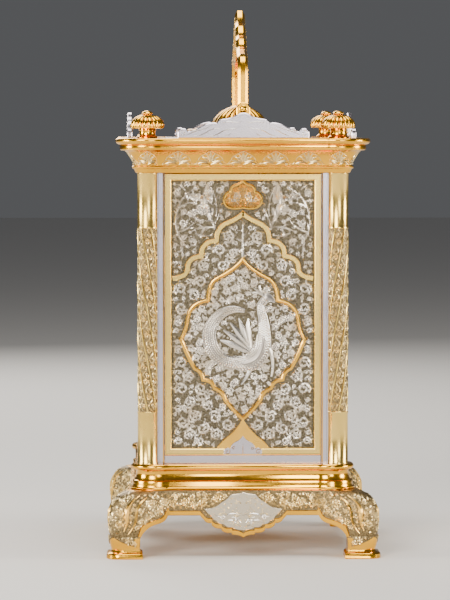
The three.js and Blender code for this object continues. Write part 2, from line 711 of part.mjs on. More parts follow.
function addTrain() {
  const toCentre = bearing(barrelArbor, centreArbor);
  const drum = [
    [1.5 + GAP, -9.5], [15, -9.5], [15, 4.5], [13.8, 4.5], [13.8, -8.3], [1.5 + GAP, -8.3],
    [1.5 + GAP, -9.5],
  ];
  const teeth = cut(
    wheelY(BARREL, barrelArbor.x, barrelArbor.z, -9.5, -7.9, toCentre),
    turnedY(rod(14.4, -12, 0), barrelArbor.x, barrelArbor.z, 20),
  );
  addPiece('barrel', join(turnedY(drum, barrelArbor.x, barrelArbor.z, 20), teeth), 'brass');
  addPiece('mainspring', turnedY(tube(4.6, 13.3, -7.9, 3.6), barrelArbor.x, barrelArbor.z, 16), 'steel');
  const winding = turnedY(
    [[0, -FAR_Y], [1.2, -FAR_Y], [1.2, -8], [4.1, -7.8], [4.1, 3.6], [1.2, 3.8], [1.2, 16], [0, 16]],
    barrelArbor.x, barrelArbor.z, 12,
  );
  const square = box(-1.2, 1.2, 15, 23, -1.2, 1.2).translate(barrelArbor.x, 0, barrelArbor.z);
  addPiece('winding_arbor', join(winding, square), 'steel');

  const centreRod = turnedY(
    [[0, -29.2], [CENTRE_TIP_RADIUS, -29.2], [CENTRE_TIP_RADIUS, -16], [ARBOR_RADIUS, -15.6],
      [ARBOR_RADIUS, 11.9], [PIVOT_RADIUS, 11.9], [PIVOT_RADIUS, FAR_Y], [0, FAR_Y]],
    centreArbor.x, centreArbor.z, 8,
  );
  const centrePhase = bearing(centreArbor, barrelArbor) + halfPitch(CENTRE_PINION);
  const toThird = bearing(centreArbor, thirdArbor);
  addPiece('centre_wheel', join(
    centreRod,
    wheelY(CENTRE_PINION, centreArbor.x, centreArbor.z, -10, -7.3, centrePhase),
    wheelY(CENTRE, centreArbor.x, centreArbor.z, 7.5, 8.7, toThird),
  ), 'brass');

  const thirdPhase = bearing(thirdArbor, centreArbor) + halfPitch(THIRD_PINION);
  const toContrate = bearing(thirdArbor, contrateArbor);
  addPiece('third_wheel', join(
    pivotedArbor(thirdArbor),
    wheelY(THIRD_PINION, thirdArbor.x, thirdArbor.z, 6.8, 9.4, thirdPhase),
    wheelY(THIRD, thirdArbor.x, thirdArbor.z, -4, -2.8, toContrate),
  ), 'brass');

  const contratePhase = bearing(contrateArbor, thirdArbor) + halfPitch(CONTRATE_PINION);
  const radius = pitchRadius(CONTRATE);
  const disc = turnedY(rod(radius - 0.2, 1, 2), contrateArbor.x, contrateArbor.z, 24);
  addPiece('contrate_wheel', join(
    pivotedArbor(contrateArbor),
    wheelY(CONTRATE_PINION, contrateArbor.x, contrateArbor.z, -4.7, -2.1, contratePhase),
    disc,
    crownRing(radius),
  ), 'brass');
}

/** Ring of pointed teeth that stand along Y, with a tooth space at the top. */
function crownRing(radius) {
  const steps = CONTRATE.teeth * 2;
  const loops = [
    [radius - CROWN_HALF_WIDTH, () => 1], [radius + CROWN_HALF_WIDTH, () => 1],
    [radius + CROWN_HALF_WIDTH, crownHeight], [radius - CROWN_HALF_WIDTH, crownHeight],
  ].map(([r, height]) => {
    const loop = [];
    for (let i = 0; i < steps; i += 1) {
      const angle = Math.PI / 2 - (i / steps) * 2 * Math.PI;
      loop.push([contrateArbor.x + r * Math.cos(angle), height(i), contrateArbor.z + r * Math.sin(angle)]);
    }
    return loop;
  });
  return ringOfLoops(loops);
}

/** Height of the crown's zigzag edge: spaces at even steps, tips at odd ones. */
function crownHeight(step) {
  return step % 2 === 0 ? CROWN_ROOT_Y : CROWN_TIP_Y;
}

function addMotionWork() {
  const { x, z } = centreArbor;
  const cannonPhase = bearing(centreArbor, minuteArbor) + halfPitch(CANNON);
  const bore = turnedY(rod(CENTRE_TIP_RADIUS + GAP, -40, 0), x, z, 8);
  const cannon = join(
    turnedY(rod(CANNON_RADIUS, -29.3, -16.2), x, z, 10),
    wheelY(CANNON, x, z, -18, -16.2, cannonPhase),
  );
  addPiece('cannon_pinion', cut(cannon, bore), 'steel');

  const toCannon = bearing(minuteArbor, centreArbor);
  const pinionPhase = toCannon + halfPitch(MINUTE_PINION);
  const minute = join(
    wheelY(MINUTE, minuteArbor.x, minuteArbor.z, -17.6, -16.5, toCannon),
    wheelY(MINUTE_PINION, minuteArbor.x, minuteArbor.z, -20.8, -17.6, pinionPhase),
  );
  const studHole = turnedY(rod(STUD_RADIUS + GAP, -40, 0), minuteArbor.x, minuteArbor.z, 8);
  addPiece('minute_wheel', cut(minute, studHole), 'brass');

  const hour = join(
    wheelY(HOUR, x, z, -20.3, -19.2, bearing(centreArbor, minuteArbor)),
    turnedY(rod(2.4, -28.2, -18.9), x, z, 10),
  );
  addPiece('hour_wheel', cut(hour, turnedY(rod(CANNON_RADIUS + GAP, -40, 0), x, z, 10)), 'brass');

  const dial = new THREE.Shape().absarc(0, CENTRE_Z, DIAL_RADIUS, 0, 2 * Math.PI, false);
  dial.holes.push(roundHole(0, CENTRE_Z, 3));
  addPiece('dial', slabY(dial, ...DIAL_Y, 16), 'enamel');

  const hourHand = mirroredOutline([
    [0, -3], [2.4, -2], [2.6, 1], [1, 3], [0.8, 8], [2.2, 10.4], [1, 12.6], [0, 15.5],
  ]);
  hourHand.holes.push(roundHole(0, 0, CANNON_RADIUS + GAP));
  addPiece('hour_hand', handAt(hourHand, HOUR_HAND_Y, HOUR_HAND_TURN), 'blued');
  const minuteHand = mirroredOutline([
    [0, -3], [1.8, -2], [2.1, 0.6], [0.7, 2.6], [0.6, 14], [1.6, 16.4], [0.6, 18.6], [0, 22.4],
  ]);
  addPiece('minute_hand', handAt(minuteHand, MINUTE_HAND_Y, MINUTE_HAND_TURN), 'blued');
}

/** Hand drawn pointing up from its centre, turned clockwise by an angle and put on the dial's centre. */
function handAt(shape, depth, clockwise) {
  return slabY(shape, ...depth, 3).rotateY(clockwise).translate(0, 0, CENTRE_Z);
}

// ---------------------------------------------------------------- platform escapement

const ESCAPE_Y = CROWN_MIDDLE_Y + pitchRadius(ESCAPE_PINION);

function addPlatform() {
  const up = PLATFORM_Z + PLATFORM_THICKNESS;
  const escape = { x: contrateArbor.x, y: ESCAPE_Y };
  const leverX = escape.x + LEVER_OFFSET;
  const balanceX = escape.x + BALANCE_OFFSET;

  const plate = outline([[-17, -FAR_Y], [19, -FAR_Y], [19, FAR_Y], [-17, FAR_Y]]);
  plate.holes.push(roundHole(escape.x, escape.y, 1.5));
  addPiece('platform', slabZ(plate, PLATFORM_Z, up, 3), 'brass');

  const rim = contrateArbor.z + pitchRadius(CONTRATE);
  const leaves = wheelOutline(ESCAPE_PINION, -Math.PI / 2);
  const escapeTeeth = [];
  const slot = (2 * Math.PI) / ESCAPE_TEETH;
  const tooth = [[0, ESCAPE_WHEEL_RADIUS], [0.28, ESCAPE_ROOT_RADIUS], [0.8, ESCAPE_ROOT_RADIUS]];
  for (let i = 0; i < ESCAPE_TEETH; i += 1) {
    for (const [offset, r] of tooth) {
      const angle = (i + offset) * slot;
      escapeTeeth.push([r * Math.cos(angle), r * Math.sin(angle)]);
    }
  }
  addPiece('escape_wheel', join(
    turnedZ(rod(0.45, rim - 0.9, up + 3.2), escape.x, escape.y, 8),
    slabZ(leaves, rim - 0.7, rim + 0.7).translate(escape.x, escape.y, 0),
    slabZ(outline(escapeTeeth), up + 1.4, up + 1.9).translate(escape.x, escape.y, 0),
  ), 'steel');

  const lever = outline([
    [-0.9, -2.4], [0.2, -2.4], [0.5, -0.7], [4.6, -0.4], [4.9, -1.1], [5.5, -1.1], [5.1, -0.3],
    [5.1, 0.3], [5.5, 1.1], [4.9, 1.1], [4.6, 0.4], [0.5, 0.7], [0.2, 2.4], [-0.9, 2.4],
  ]);
  addPiece('lever', join(
    slabZ(lever, up + 1.4, up + 1.9).translate(leverX, escape.y, 0),
    turnedZ(rod(0.4, up + 0.1, up + 3), leverX, escape.y, 8),
  ), 'steel');

  const ring = new THREE.Shape().absarc(0, 0, BALANCE_RADIUS, 0, 2 * Math.PI, false);
  for (const side of [1, -1]) {
    const start = side > 0 ? 0.16 : Math.PI + 0.16;
    const end = start + Math.PI - 0.32;
    const gap = new THREE.Path().absarc(0, 0, BALANCE_RADIUS - BALANCE_RIM, start, end, false);
    ring.holes.push(gap);
  }
  addPiece('balance_wheel', join(
    slabZ(ring, up + 3.6, up + 4.5, 10).translate(balanceX, escape.y, 0),
    turnedZ(rod(0.5, up + 0.2, up + 6.2), balanceX, escape.y, 8),
  ), 'brass');

  const cock = outline([
    [FAR_Y - 3.4, up], [FAR_Y, up], [FAR_Y, up + 7.8], [escape.y - 2, up + 7.8],
    [escape.y - 2, up + 6.5], [FAR_Y - 3.4, up + 6.5],
  ]);
  addPiece('balance_cock', slabX(cock, balanceX - 2.4, balanceX + 2.4), 'brass');
}

addSkirt();
addBase();
addColumnsAndPosts();
addSideWalls();
addFrontWall();
addRearDoor();
addCornice();
addRoofOrnaments();
addHandle();
addPlates();
addTrain();
addMotionWork();
addPlatform();

export default clock;
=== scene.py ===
"""Looks of the gilt and silvered carriage clock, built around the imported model.

Lengths inside the classes are in millimetres in the clock's own frame: X across the dial,
Y from the dial to the rear door, Z up. Meshes are written in metres.
"""

import json
import logging
import math
import random
from collections.abc import Callable, Iterable, Sequence
from dataclasses import dataclass, field
from enum import Enum

import bmesh
import bpy
import numpy as np
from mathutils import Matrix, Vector


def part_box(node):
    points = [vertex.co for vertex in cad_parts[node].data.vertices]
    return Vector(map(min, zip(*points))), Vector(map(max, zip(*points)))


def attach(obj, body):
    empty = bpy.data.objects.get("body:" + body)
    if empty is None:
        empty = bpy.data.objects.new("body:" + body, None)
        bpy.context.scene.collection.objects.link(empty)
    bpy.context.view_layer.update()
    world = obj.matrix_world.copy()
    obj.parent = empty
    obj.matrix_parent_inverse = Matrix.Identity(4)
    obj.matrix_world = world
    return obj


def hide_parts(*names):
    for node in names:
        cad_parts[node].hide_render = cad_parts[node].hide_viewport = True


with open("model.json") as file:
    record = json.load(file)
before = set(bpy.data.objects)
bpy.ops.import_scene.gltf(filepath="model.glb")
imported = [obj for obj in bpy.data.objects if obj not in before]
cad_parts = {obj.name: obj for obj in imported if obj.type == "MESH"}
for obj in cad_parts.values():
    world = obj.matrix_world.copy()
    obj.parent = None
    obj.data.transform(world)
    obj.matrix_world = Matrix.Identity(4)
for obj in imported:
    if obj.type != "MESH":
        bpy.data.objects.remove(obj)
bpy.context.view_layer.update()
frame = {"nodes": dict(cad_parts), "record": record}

MM = 0.001
LOG = logging.getLogger("carriage_clock")
WELD_MM = 0.0005
PACKING_STEP = 0.22
PATTERNS: list[bpy.types.Object] = []
CORNERS = (("front_left", -1, -1), ("front_right", 1, -1), ("rear_left", -1, 1), ("rear_right", 1, 1))

Point2 = tuple[float, float]
Colour = tuple[float, float, float]


# ------------------------------------------------------------------ places taken from the frame


def span(node: str) -> tuple[np.ndarray, np.ndarray]:
    """Lowest and highest corner of a CAD node.

    Args:
        node: Name of the node.

    Returns:
        Two arrays of three lengths in millimetres.
    """
    low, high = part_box(node)
    return np.array(low) / MM, np.array(high) / MM


# ------------------------------------------------------------------ shader groups


def new_group(name: str, inputs: dict[str, float | Colour], outputs: dict[str, str]) -> bpy.types.NodeTree:
    """Starts a shader node group.

    Args:
        name: Name of the group.
        inputs: Default of each input; a tuple makes a colour socket.
        outputs: Socket type of each output.

    Returns:
        The empty group with its Group Input and Group Output nodes.
    """
    tree = bpy.data.node_groups.new(name, "ShaderNodeTree")
    for label, default in inputs.items():
        kind = "NodeSocketColor" if isinstance(default, tuple) else "NodeSocketFloat"
        socket = tree.interface.new_socket(label, in_out="INPUT", socket_type=kind)
        socket.default_value = (*default, 1.0) if isinstance(default, tuple) else default
    for label, kind in outputs.items():
        tree.interface.new_socket(label, in_out="OUTPUT", socket_type=kind)
    tree.nodes.new("NodeGroupInput")
    tree.nodes.new("NodeGroupOutput")
    return tree


def group_ends(tree: bpy.types.NodeTree) -> tuple[bpy.types.Node, bpy.types.Node]:
    """Group Input and Group Output node of a group.

    Args:
        tree: Node tree to work in.

    Returns:
        The Group Input node and the Group Output node.
    """
    start = next(n for n in tree.nodes if n.type == "GROUP_INPUT")
    end = next(n for n in tree.nodes if n.type == "GROUP_OUTPUT")
    return start, end


def math_node(tree: bpy.types.NodeTree, kind: str, a: object, b: object = 0.0) -> bpy.types.NodeSocket:
    """Adds one Math node.

    Args:
        tree: Node tree to add to.
        kind: Operation of the node.
        a: First value or socket.
        b: Second value or socket.

    Returns:
        The node's output socket.
    """
    node = tree.nodes.new("ShaderNodeMath")
    node.operation = kind
    for socket, value in zip(node.inputs, (a, b)):
        if isinstance(value, bpy.types.NodeSocket):
            tree.links.new(value, socket)
        else:
            socket.default_value = value
    return node.outputs[0]


def noise_node(tree: bpy.types.NodeTree, vector: bpy.types.NodeSocket, scale: object,
               detail: float) -> bpy.types.NodeSocket:
    """Adds a Noise Texture and returns its factor.

    Args:
        tree: Node tree to work in.
        vector: Coordinates to read.
        scale: Scale value or socket.
        detail: Octaves of detail.

    Returns:
        The node's factor socket.
    """
    node = tree.nodes.new("ShaderNodeTexNoise")
    node.inputs["Detail"].default_value = detail
    tree.links.new(vector, node.inputs["Vector"])
    if isinstance(scale, bpy.types.NodeSocket):
        tree.links.new(scale, node.inputs["Scale"])
    else:
        node.inputs["Scale"].default_value = scale
    return node.outputs["Fac"]


def build_metal_wear() -> bpy.types.NodeTree:
    """Group for handled metal: cloudy tarnish, uneven polish and hairline scratches.

    Returns:
        The finished group.
    """
    tree = new_group(
        "metal_wear",
        {"Colour": (0.9, 0.7, 0.3), "Tarnish Colour": (0.4, 0.25, 0.08), "Tarnish": 0.25, "Roughness": 0.25,
         "Unevenness": 0.12, "Cloud Scale": 60.0, "Scratches": 0.3},
        {"Colour": "NodeSocketColor", "Roughness": "NodeSocketFloat", "Height": "NodeSocketFloat"},
    )
    start, end = group_ends(tree)
    place = tree.nodes.new("ShaderNodeTexCoord").outputs["Object"]
    clouds = noise_node(tree, place, start.outputs["Cloud Scale"], 6.0)
    ramp = tree.nodes.new("ShaderNodeMapRange")
    ramp.inputs["From Min"].default_value = 0.42
    ramp.inputs["From Max"].default_value = 0.68
    tree.links.new(clouds, ramp.inputs["Value"])
    share = math_node(tree, "MULTIPLY", ramp.outputs["Result"], start.outputs["Tarnish"])
    mix = tree.nodes.new("ShaderNodeMix")
    mix.data_type = "RGBA"
    tree.links.new(share, mix.inputs["Factor"])
    tree.links.new(start.outputs["Colour"], mix.inputs["A"])
    tree.links.new(start.outputs["Tarnish Colour"], mix.inputs["B"])
    tree.links.new(mix.outputs["Result"], end.inputs["Colour"])

    fine = noise_node(tree, place, 420.0, 3.0)
    stretch = tree.nodes.new("ShaderNodeMapping")
    stretch.inputs["Scale"].default_value = (300.0, 2600.0, 90.0)
    stretch.inputs["Rotation"].default_value = (0.3, 0.2, 0.5)
    tree.links.new(place, stretch.inputs["Vector"])
    hair = noise_node(tree, stretch.outputs["Vector"], 1.0, 2.0)
    uneven = math_node(tree, "MULTIPLY", math_node(tree, "SUBTRACT", fine, 0.5),
                       start.outputs["Unevenness"])
    rough = math_node(tree, "ADD", start.outputs["Roughness"], uneven)
    rough = math_node(tree, "ADD", rough, math_node(tree, "MULTIPLY", share, 0.3))
    tree.links.new(rough, end.inputs["Roughness"])
    scratch = math_node(tree, "MULTIPLY", hair, start.outputs["Scratches"])
    tree.links.new(math_node(tree, "ADD", scratch, math_node(tree, "MULTIPLY", fine, 0.2)),
                   end.inputs["Height"])
    return tree


def build_punched_ground() -> bpy.types.NodeTree:
    """Group for a chaser's matted ground: small round punch marks with dark bottoms.

    Returns:
        The finished group.
    """
    tree = new_group(
        "punched_ground",
        {"Colour": (0.5, 0.45, 0.4), "Hollow Colour": (0.08, 0.06, 0.04), "Punch Scale": 1900.0},
        {"Colour": "NodeSocketColor", "Height": "NodeSocketFloat"},
    )
    start, end = group_ends(tree)
    place = tree.nodes.new("ShaderNodeTexCoord").outputs["Object"]
    cells = tree.nodes.new("ShaderNodeTexVoronoi")
    tree.links.new(place, cells.inputs["Vector"])
    tree.links.new(start.outputs["Punch Scale"], cells.inputs["Scale"])
    dips = tree.nodes.new("ShaderNodeMapRange")
    dips.inputs["From Min"].default_value = 0.1
    dips.inputs["From Max"].default_value = 0.6
    tree.links.new(cells.outputs["Distance"], dips.inputs["Value"])
    mix = tree.nodes.new("ShaderNodeMix")
    mix.data_type = "RGBA"
    tree.links.new(dips.outputs["Result"], mix.inputs["Factor"])
    tree.links.new(start.outputs["Hollow Colour"], mix.inputs["A"])
    tree.links.new(start.outputs["Colour"], mix.inputs["B"])
    tree.links.new(mix.outputs["Result"], end.inputs["Colour"])
    tree.links.new(dips.outputs["Result"], end.inputs["Height"])
    return tree


# ------------------------------------------------------------------ finishes


@dataclass(frozen=True)
class Metal:
    """A gilt, silvered or plain metal finish with its wear."""

    name: str
    colour: Colour
    tarnish_colour: Colour
    roughness: float
    tarnish: float = 0.2
    unevenness: float = 0.12
    cloud_scale: float = 60.0
    scratches: float = 0.3
    bump: float = 0.04

    def build(self) -> bpy.types.Material:
        """Makes the material.

        Returns:
            A Principled metal fed by the metal_wear group.
        """
        material, shader = start_material(self.name)
        tree = material.node_tree
        wear = place_group(tree, "metal_wear", {
            "Colour": self.colour, "Tarnish Colour": self.tarnish_colour, "Tarnish": self.tarnish,
            "Roughness": self.roughness, "Unevenness": self.unevenness, "Cloud Scale": self.cloud_scale,
            "Scratches": self.scratches,
        })
        shader.inputs["Metallic"].default_value = 1.0
        tree.links.new(wear.outputs["Colour"], shader.inputs["Base Color"])
        tree.links.new(wear.outputs["Roughness"], shader.inputs["Roughness"])
        add_bump(tree, shader, wear.outputs["Height"], self.bump, 0.02)
        return material


@dataclass(frozen=True)
class Ground:
    """The matted ground between chased ornament."""

    name: str
    colour: Colour
    hollow: Colour
    roughness: float = 0.5
    punch_scale: float = 1900.0

    def build(self) -> bpy.types.Material:
        """Makes the material.

        Returns:
            A Principled metal fed by the punched_ground group.
        """
        material, shader = start_material(self.name)
        tree = material.node_tree
        punched = place_group(tree, "punched_ground", {
            "Colour": self.colour, "Hollow Colour": self.hollow, "Punch Scale": self.punch_scale,
        })
        shader.inputs["Metallic"].default_value = 1.0
        shader.inputs["Roughness"].default_value = self.roughness
        tree.links.new(punched.outputs["Colour"], shader.inputs["Base Color"])
        add_bump(tree, shader, punched.outputs["Height"], 0.5, 0.1)
        return material


@dataclass(frozen=True)
class Enamel:
    """Fired white dial enamel, or the black that is fired into it."""

    name: str
    colour: Colour

    def build(self) -> bpy.types.Material:
        """Makes the material: gloss over a faintly mottled body.

        Returns:
            The material.
        """
        material, shader = start_material(self.name)
        tree = material.node_tree
        wear = place_group(tree, "metal_wear", {
            "Colour": self.colour, "Tarnish Colour": tuple(c * 0.86 for c in self.colour), "Tarnish": 0.3,
            "Roughness": 0.14, "Unevenness": 0.05, "Cloud Scale": 90.0, "Scratches": 0.0,
        })
        tree.links.new(wear.outputs["Colour"], shader.inputs["Base Color"])
        tree.links.new(wear.outputs["Roughness"], shader.inputs["Roughness"])
        shader.inputs["Coat Weight"].default_value = 0.5
        add_bump(tree, shader, wear.outputs["Height"], 0.02, 0.02)
        return material


@dataclass(frozen=True)
class Glass:
    """Clear bevelled glass."""

    name: str

    def build(self) -> bpy.types.Material:
        """Makes the material: clear glass whose smudges change only its roughness.

        Returns:
            The material.
        """
        material, shader = start_material(self.name)
        tree = material.node_tree
        place = tree.nodes.new("ShaderNodeTexCoord").outputs["Object"]
        smudge = noise_node(tree, place, 45.0, 4.0)
        shader.inputs["Base Color"].default_value = (0.97, 0.99, 0.985, 1.0)
        shader.inputs["Transmission Weight"].default_value = 1.0
        shader.inputs["IOR"].default_value = 1.05
        shader.inputs["Alpha"].default_value = 0.35
        tree.links.new(math_node(tree, "MULTIPLY", smudge, 0.06), shader.inputs["Roughness"])
        return material


def start_material(name: str) -> tuple[bpy.types.Material, bpy.types.Node]:
    """New node material and its Principled shader.

    Args:
        name: Name of the material.

    Returns:
        The material and its Principled shader.
    """
    material = bpy.data.materials.new(name)
    material.use_nodes = True
    return material, material.node_tree.nodes["Principled BSDF"]


def place_group(tree: bpy.types.NodeTree, name: str, values: dict[str, float | Colour]) -> bpy.types.Node:
    """Places a shader group in a material with its own values.

    Args:
        tree: The material's node tree.
        name: Name of the group.
        values: Value of each input.

    Returns:
        The group node.
    """
    node = tree.nodes.new("ShaderNodeGroup")
    node.node_tree = bpy.data.node_groups[name]
    for label, value in values.items():
        node.inputs[label].default_value = (*value, 1.0) if isinstance(value, tuple) else value
    return node


def add_bump(tree: bpy.types.NodeTree, shader: bpy.types.Node, height: bpy.types.NodeSocket,
             strength: float,
             distance_mm: float) -> None:
    """Feeds a height through a Bump node to the shader's normal.

    Args:
        tree: Node tree to work in.
        shader: The Principled shader.
        height: Height socket.
        strength: Strength of the bump.
        distance_mm: Depth of the bump in mm.
    """
    bump = tree.nodes.new("ShaderNodeBump")
    bump.inputs["Strength"].default_value = strength
    bump.inputs["Distance"].default_value = distance_mm * MM
    tree.links.new(height, bump.inputs["Height"])
    tree.links.new(bump.outputs["Normal"], shader.inputs["Normal"])


class Finish(Enum):
    """Every finish on the clock."""

    GILT = Metal("gilt_polished", (0.98, 0.50, 0.03), (0.52, 0.21, 0.01), 0.17, tarnish=0.35)
    GILT_PLATE = Metal("gilt_plate", (0.90, 0.52, 0.08), (0.50, 0.25, 0.03), 0.24, tarnish=0.4)
    PALE_GILT = Metal("pale_gilt_satin", (0.88, 0.62, 0.17), (0.58, 0.36, 0.07), 0.2, tarnish=0.35)
    GILT_RELIEF = Metal("gilt_relief", (0.92, 0.58, 0.13), (0.55, 0.29, 0.07), 0.22, tarnish=0.4,
                        cloud_scale=140.0)
    SKIRT_RELIEF = Metal("skirt_relief", (0.90, 0.70, 0.34), (0.55, 0.38, 0.12), 0.25, tarnish=0.5,
                         cloud_scale=140.0)
    SKIRT_PLAIN = Metal("skirt_plain", (0.70, 0.61, 0.47), (0.45, 0.36, 0.22), 0.22, tarnish=0.4)
    SKIRT_GROUND = Ground("skirt_ground", (0.29, 0.21, 0.10), (0.05, 0.034, 0.013))
    GILT_GROUND = Ground("gilt_ground", (0.40, 0.22, 0.06), (0.08, 0.04, 0.012))
    SILVER = Metal("silver_satin", (0.60, 0.555, 0.60), (0.42, 0.36, 0.34), 0.2, tarnish=0.3)
    SILVER_RELIEF = Metal("silver_relief", (0.90, 0.86, 0.80), (0.60, 0.50, 0.36), 0.24, tarnish=0.45,
                          cloud_scale=150.0)
    SILVER_MATT = Metal("silver_matt", (0.46, 0.42, 0.38), (0.28, 0.24, 0.19), 0.36, tarnish=0.5,
                        cloud_scale=150.0)
    SILVER_GROUND = Ground("silver_ground", (0.165, 0.138, 0.09), (0.033, 0.026, 0.016))
    BRASS = Metal("brass_satin", (0.80, 0.60, 0.29), (0.45, 0.29, 0.1), 0.3, scratches=0.8, bump=0.1)
    STEEL = Metal("steel_polished", (0.56, 0.57, 0.58), (0.3, 0.27, 0.24), 0.24, scratches=0.6)
    BLUED = Metal("blued_polished", (0.035, 0.07, 0.33), (0.10, 0.04, 0.22), 0.2)
    ENAMEL = Enamel("enamel_white", (0.87, 0.85, 0.79))
    # Black enamel for the numerals and minute track; it also serves as painted shade in the movement's
    # screw slots.
    NUMERAL_AND_SLOT_SHADE = Enamel("enamel_black", (0.012, 0.011, 0.010))
    GLASS = Glass("bevelled_glass")

    @property
    def material(self) -> bpy.types.Material:
        """The finish's material, made on first use."""
        found = bpy.data.materials.get(self.value.name)
        return found or self.value.build()


# ------------------------------------------------------------------ outlines in the flat


def curve_through(rows: Sequence[Sequence[float]], steps: int = 6) -> np.ndarray:
    """Path from a start point through straight and curved stretches.

    Args:
        rows: The start point, then one row per stretch: its end point, or a control point and
            the end point of a quadratic curve.
        steps: Number of points along each curve.

    Returns:
        Points of the path, one per row of the array.
    """
    points = [np.array(rows[0], float)]
    for row in rows[1:]:
        end = np.array(row[-2:], float)
        if len(row) == 2:
            points.append(end)
            continue
        start, control = points[-1], np.array(row[:2], float)
        for t in np.linspace(0, 1, steps + 1)[1:]:
            points.append((1 - t) ** 2 * start + 2 * t * (1 - t) * control + t * t * end)
    return np.array(points)


def mirrored_path(half: np.ndarray) -> np.ndarray:
    """Whole path from a half that starts or ends on the middle line u = 0.

    Args:
        half: Points of one half, from its far end to the middle line.

    Returns:
        Points from one far end over the middle to the other.
    """
    other = half[::-1].copy()
    other[:, 0] *= -1
    keep = 1 if abs(half[-1, 0]) < 1e-6 else 0
    return np.vstack([half, other[keep:]])


def resampled(path: np.ndarray, spacing: float) -> np.ndarray:
    """Path with points at an even spacing.

    Args:
        path: Points of the path.
        spacing: Distance between points in mm.

    Returns:
        Points of the new path.
    """
    steps = np.linalg.norm(np.diff(path, axis=0), axis=1)
    along = np.concatenate([[0], np.cumsum(steps)])
    count = max(2, int(round(along[-1] / spacing)) + 1)
    at = np.linspace(0, along[-1], count)
    return np.stack([np.interp(at, along, path[:, k]) for k in range(path.shape[1])], axis=1)


def mitre_normals(path: np.ndarray, closed: bool) -> np.ndarray:
    """Left-hand normals of a flat path, lengthened at corners so that an offset keeps its width.

    Args:
        path: Points of the path.
        closed: Whether the path is a loop.

    Returns:
        One lengthened normal per point.
    """
    before = path - np.roll(path, 1, axis=0)
    after = np.roll(path, -1, axis=0) - path
    if not closed:
        before[0], after[-1] = after[0], before[-1]
    before /= np.maximum(np.linalg.norm(before, axis=1, keepdims=True), 1e-9)
    after /= np.maximum(np.linalg.norm(after, axis=1, keepdims=True), 1e-9)
    first = np.stack([-before[:, 1], before[:, 0]], axis=1)
    second = np.stack([-after[:, 1], after[:, 0]], axis=1)
    share = np.maximum(1 + np.sum(first * second, axis=1, keepdims=True), 0.5)
    return (first + second) / share


def distance_to_path(points: np.ndarray, path: np.ndarray) -> np.ndarray:
    """Distance of each point from a polyline.

    Args:
        points: Points to measure from.
        path: Points of the path.

    Returns:
        One distance per point.
    """
    best = np.full(len(points), np.inf)
    for a, b in zip(path[:-1], path[1:]):
        along = b - a
        t = np.clip((points - a) @ along / max(along @ along, 1e-12), 0, 1)
        best = np.minimum(best, np.linalg.norm(points - a - t[:, None] * along, axis=1))
    return best


def inside_outline(points: np.ndarray, outline: np.ndarray) -> np.ndarray:
    """Whether each point lies inside a closed outline.

    Args:
        points: Points to test.
        outline: Closed outline in the flat.

    Returns:
        True for each point that is inside.
    """
    inside = np.zeros(len(points), bool)
    for a, b in zip(outline, np.roll(outline, -1, axis=0)):
        crosses = (a[1] > points[:, 1]) != (b[1] > points[:, 1])
        rise = b[1] - a[1] if b[1] != a[1] else 1e-12
        inside ^= crosses & (points[:, 0] < (b[0] - a[0]) * (points[:, 1] - a[1]) / rise + a[0])
    return inside


# ------------------------------------------------------------------ meshes


Placing = Callable[[np.ndarray], np.ndarray]


def on_side(side: int, face: float) -> Placing:
    """Places flat work, as (u, v, height), on a narrow side of the case."""
    return lambda p: np.stack([side * (face + p[:, 2]), p[:, 0], p[:, 1]], axis=1)


def on_front(side: int, face: float) -> Placing:
    """Places flat work on the dial side (-1) or the door side (1)."""
    return lambda p: np.stack([p[:, 0], side * (face + p[:, 2]), p[:, 1]], axis=1)


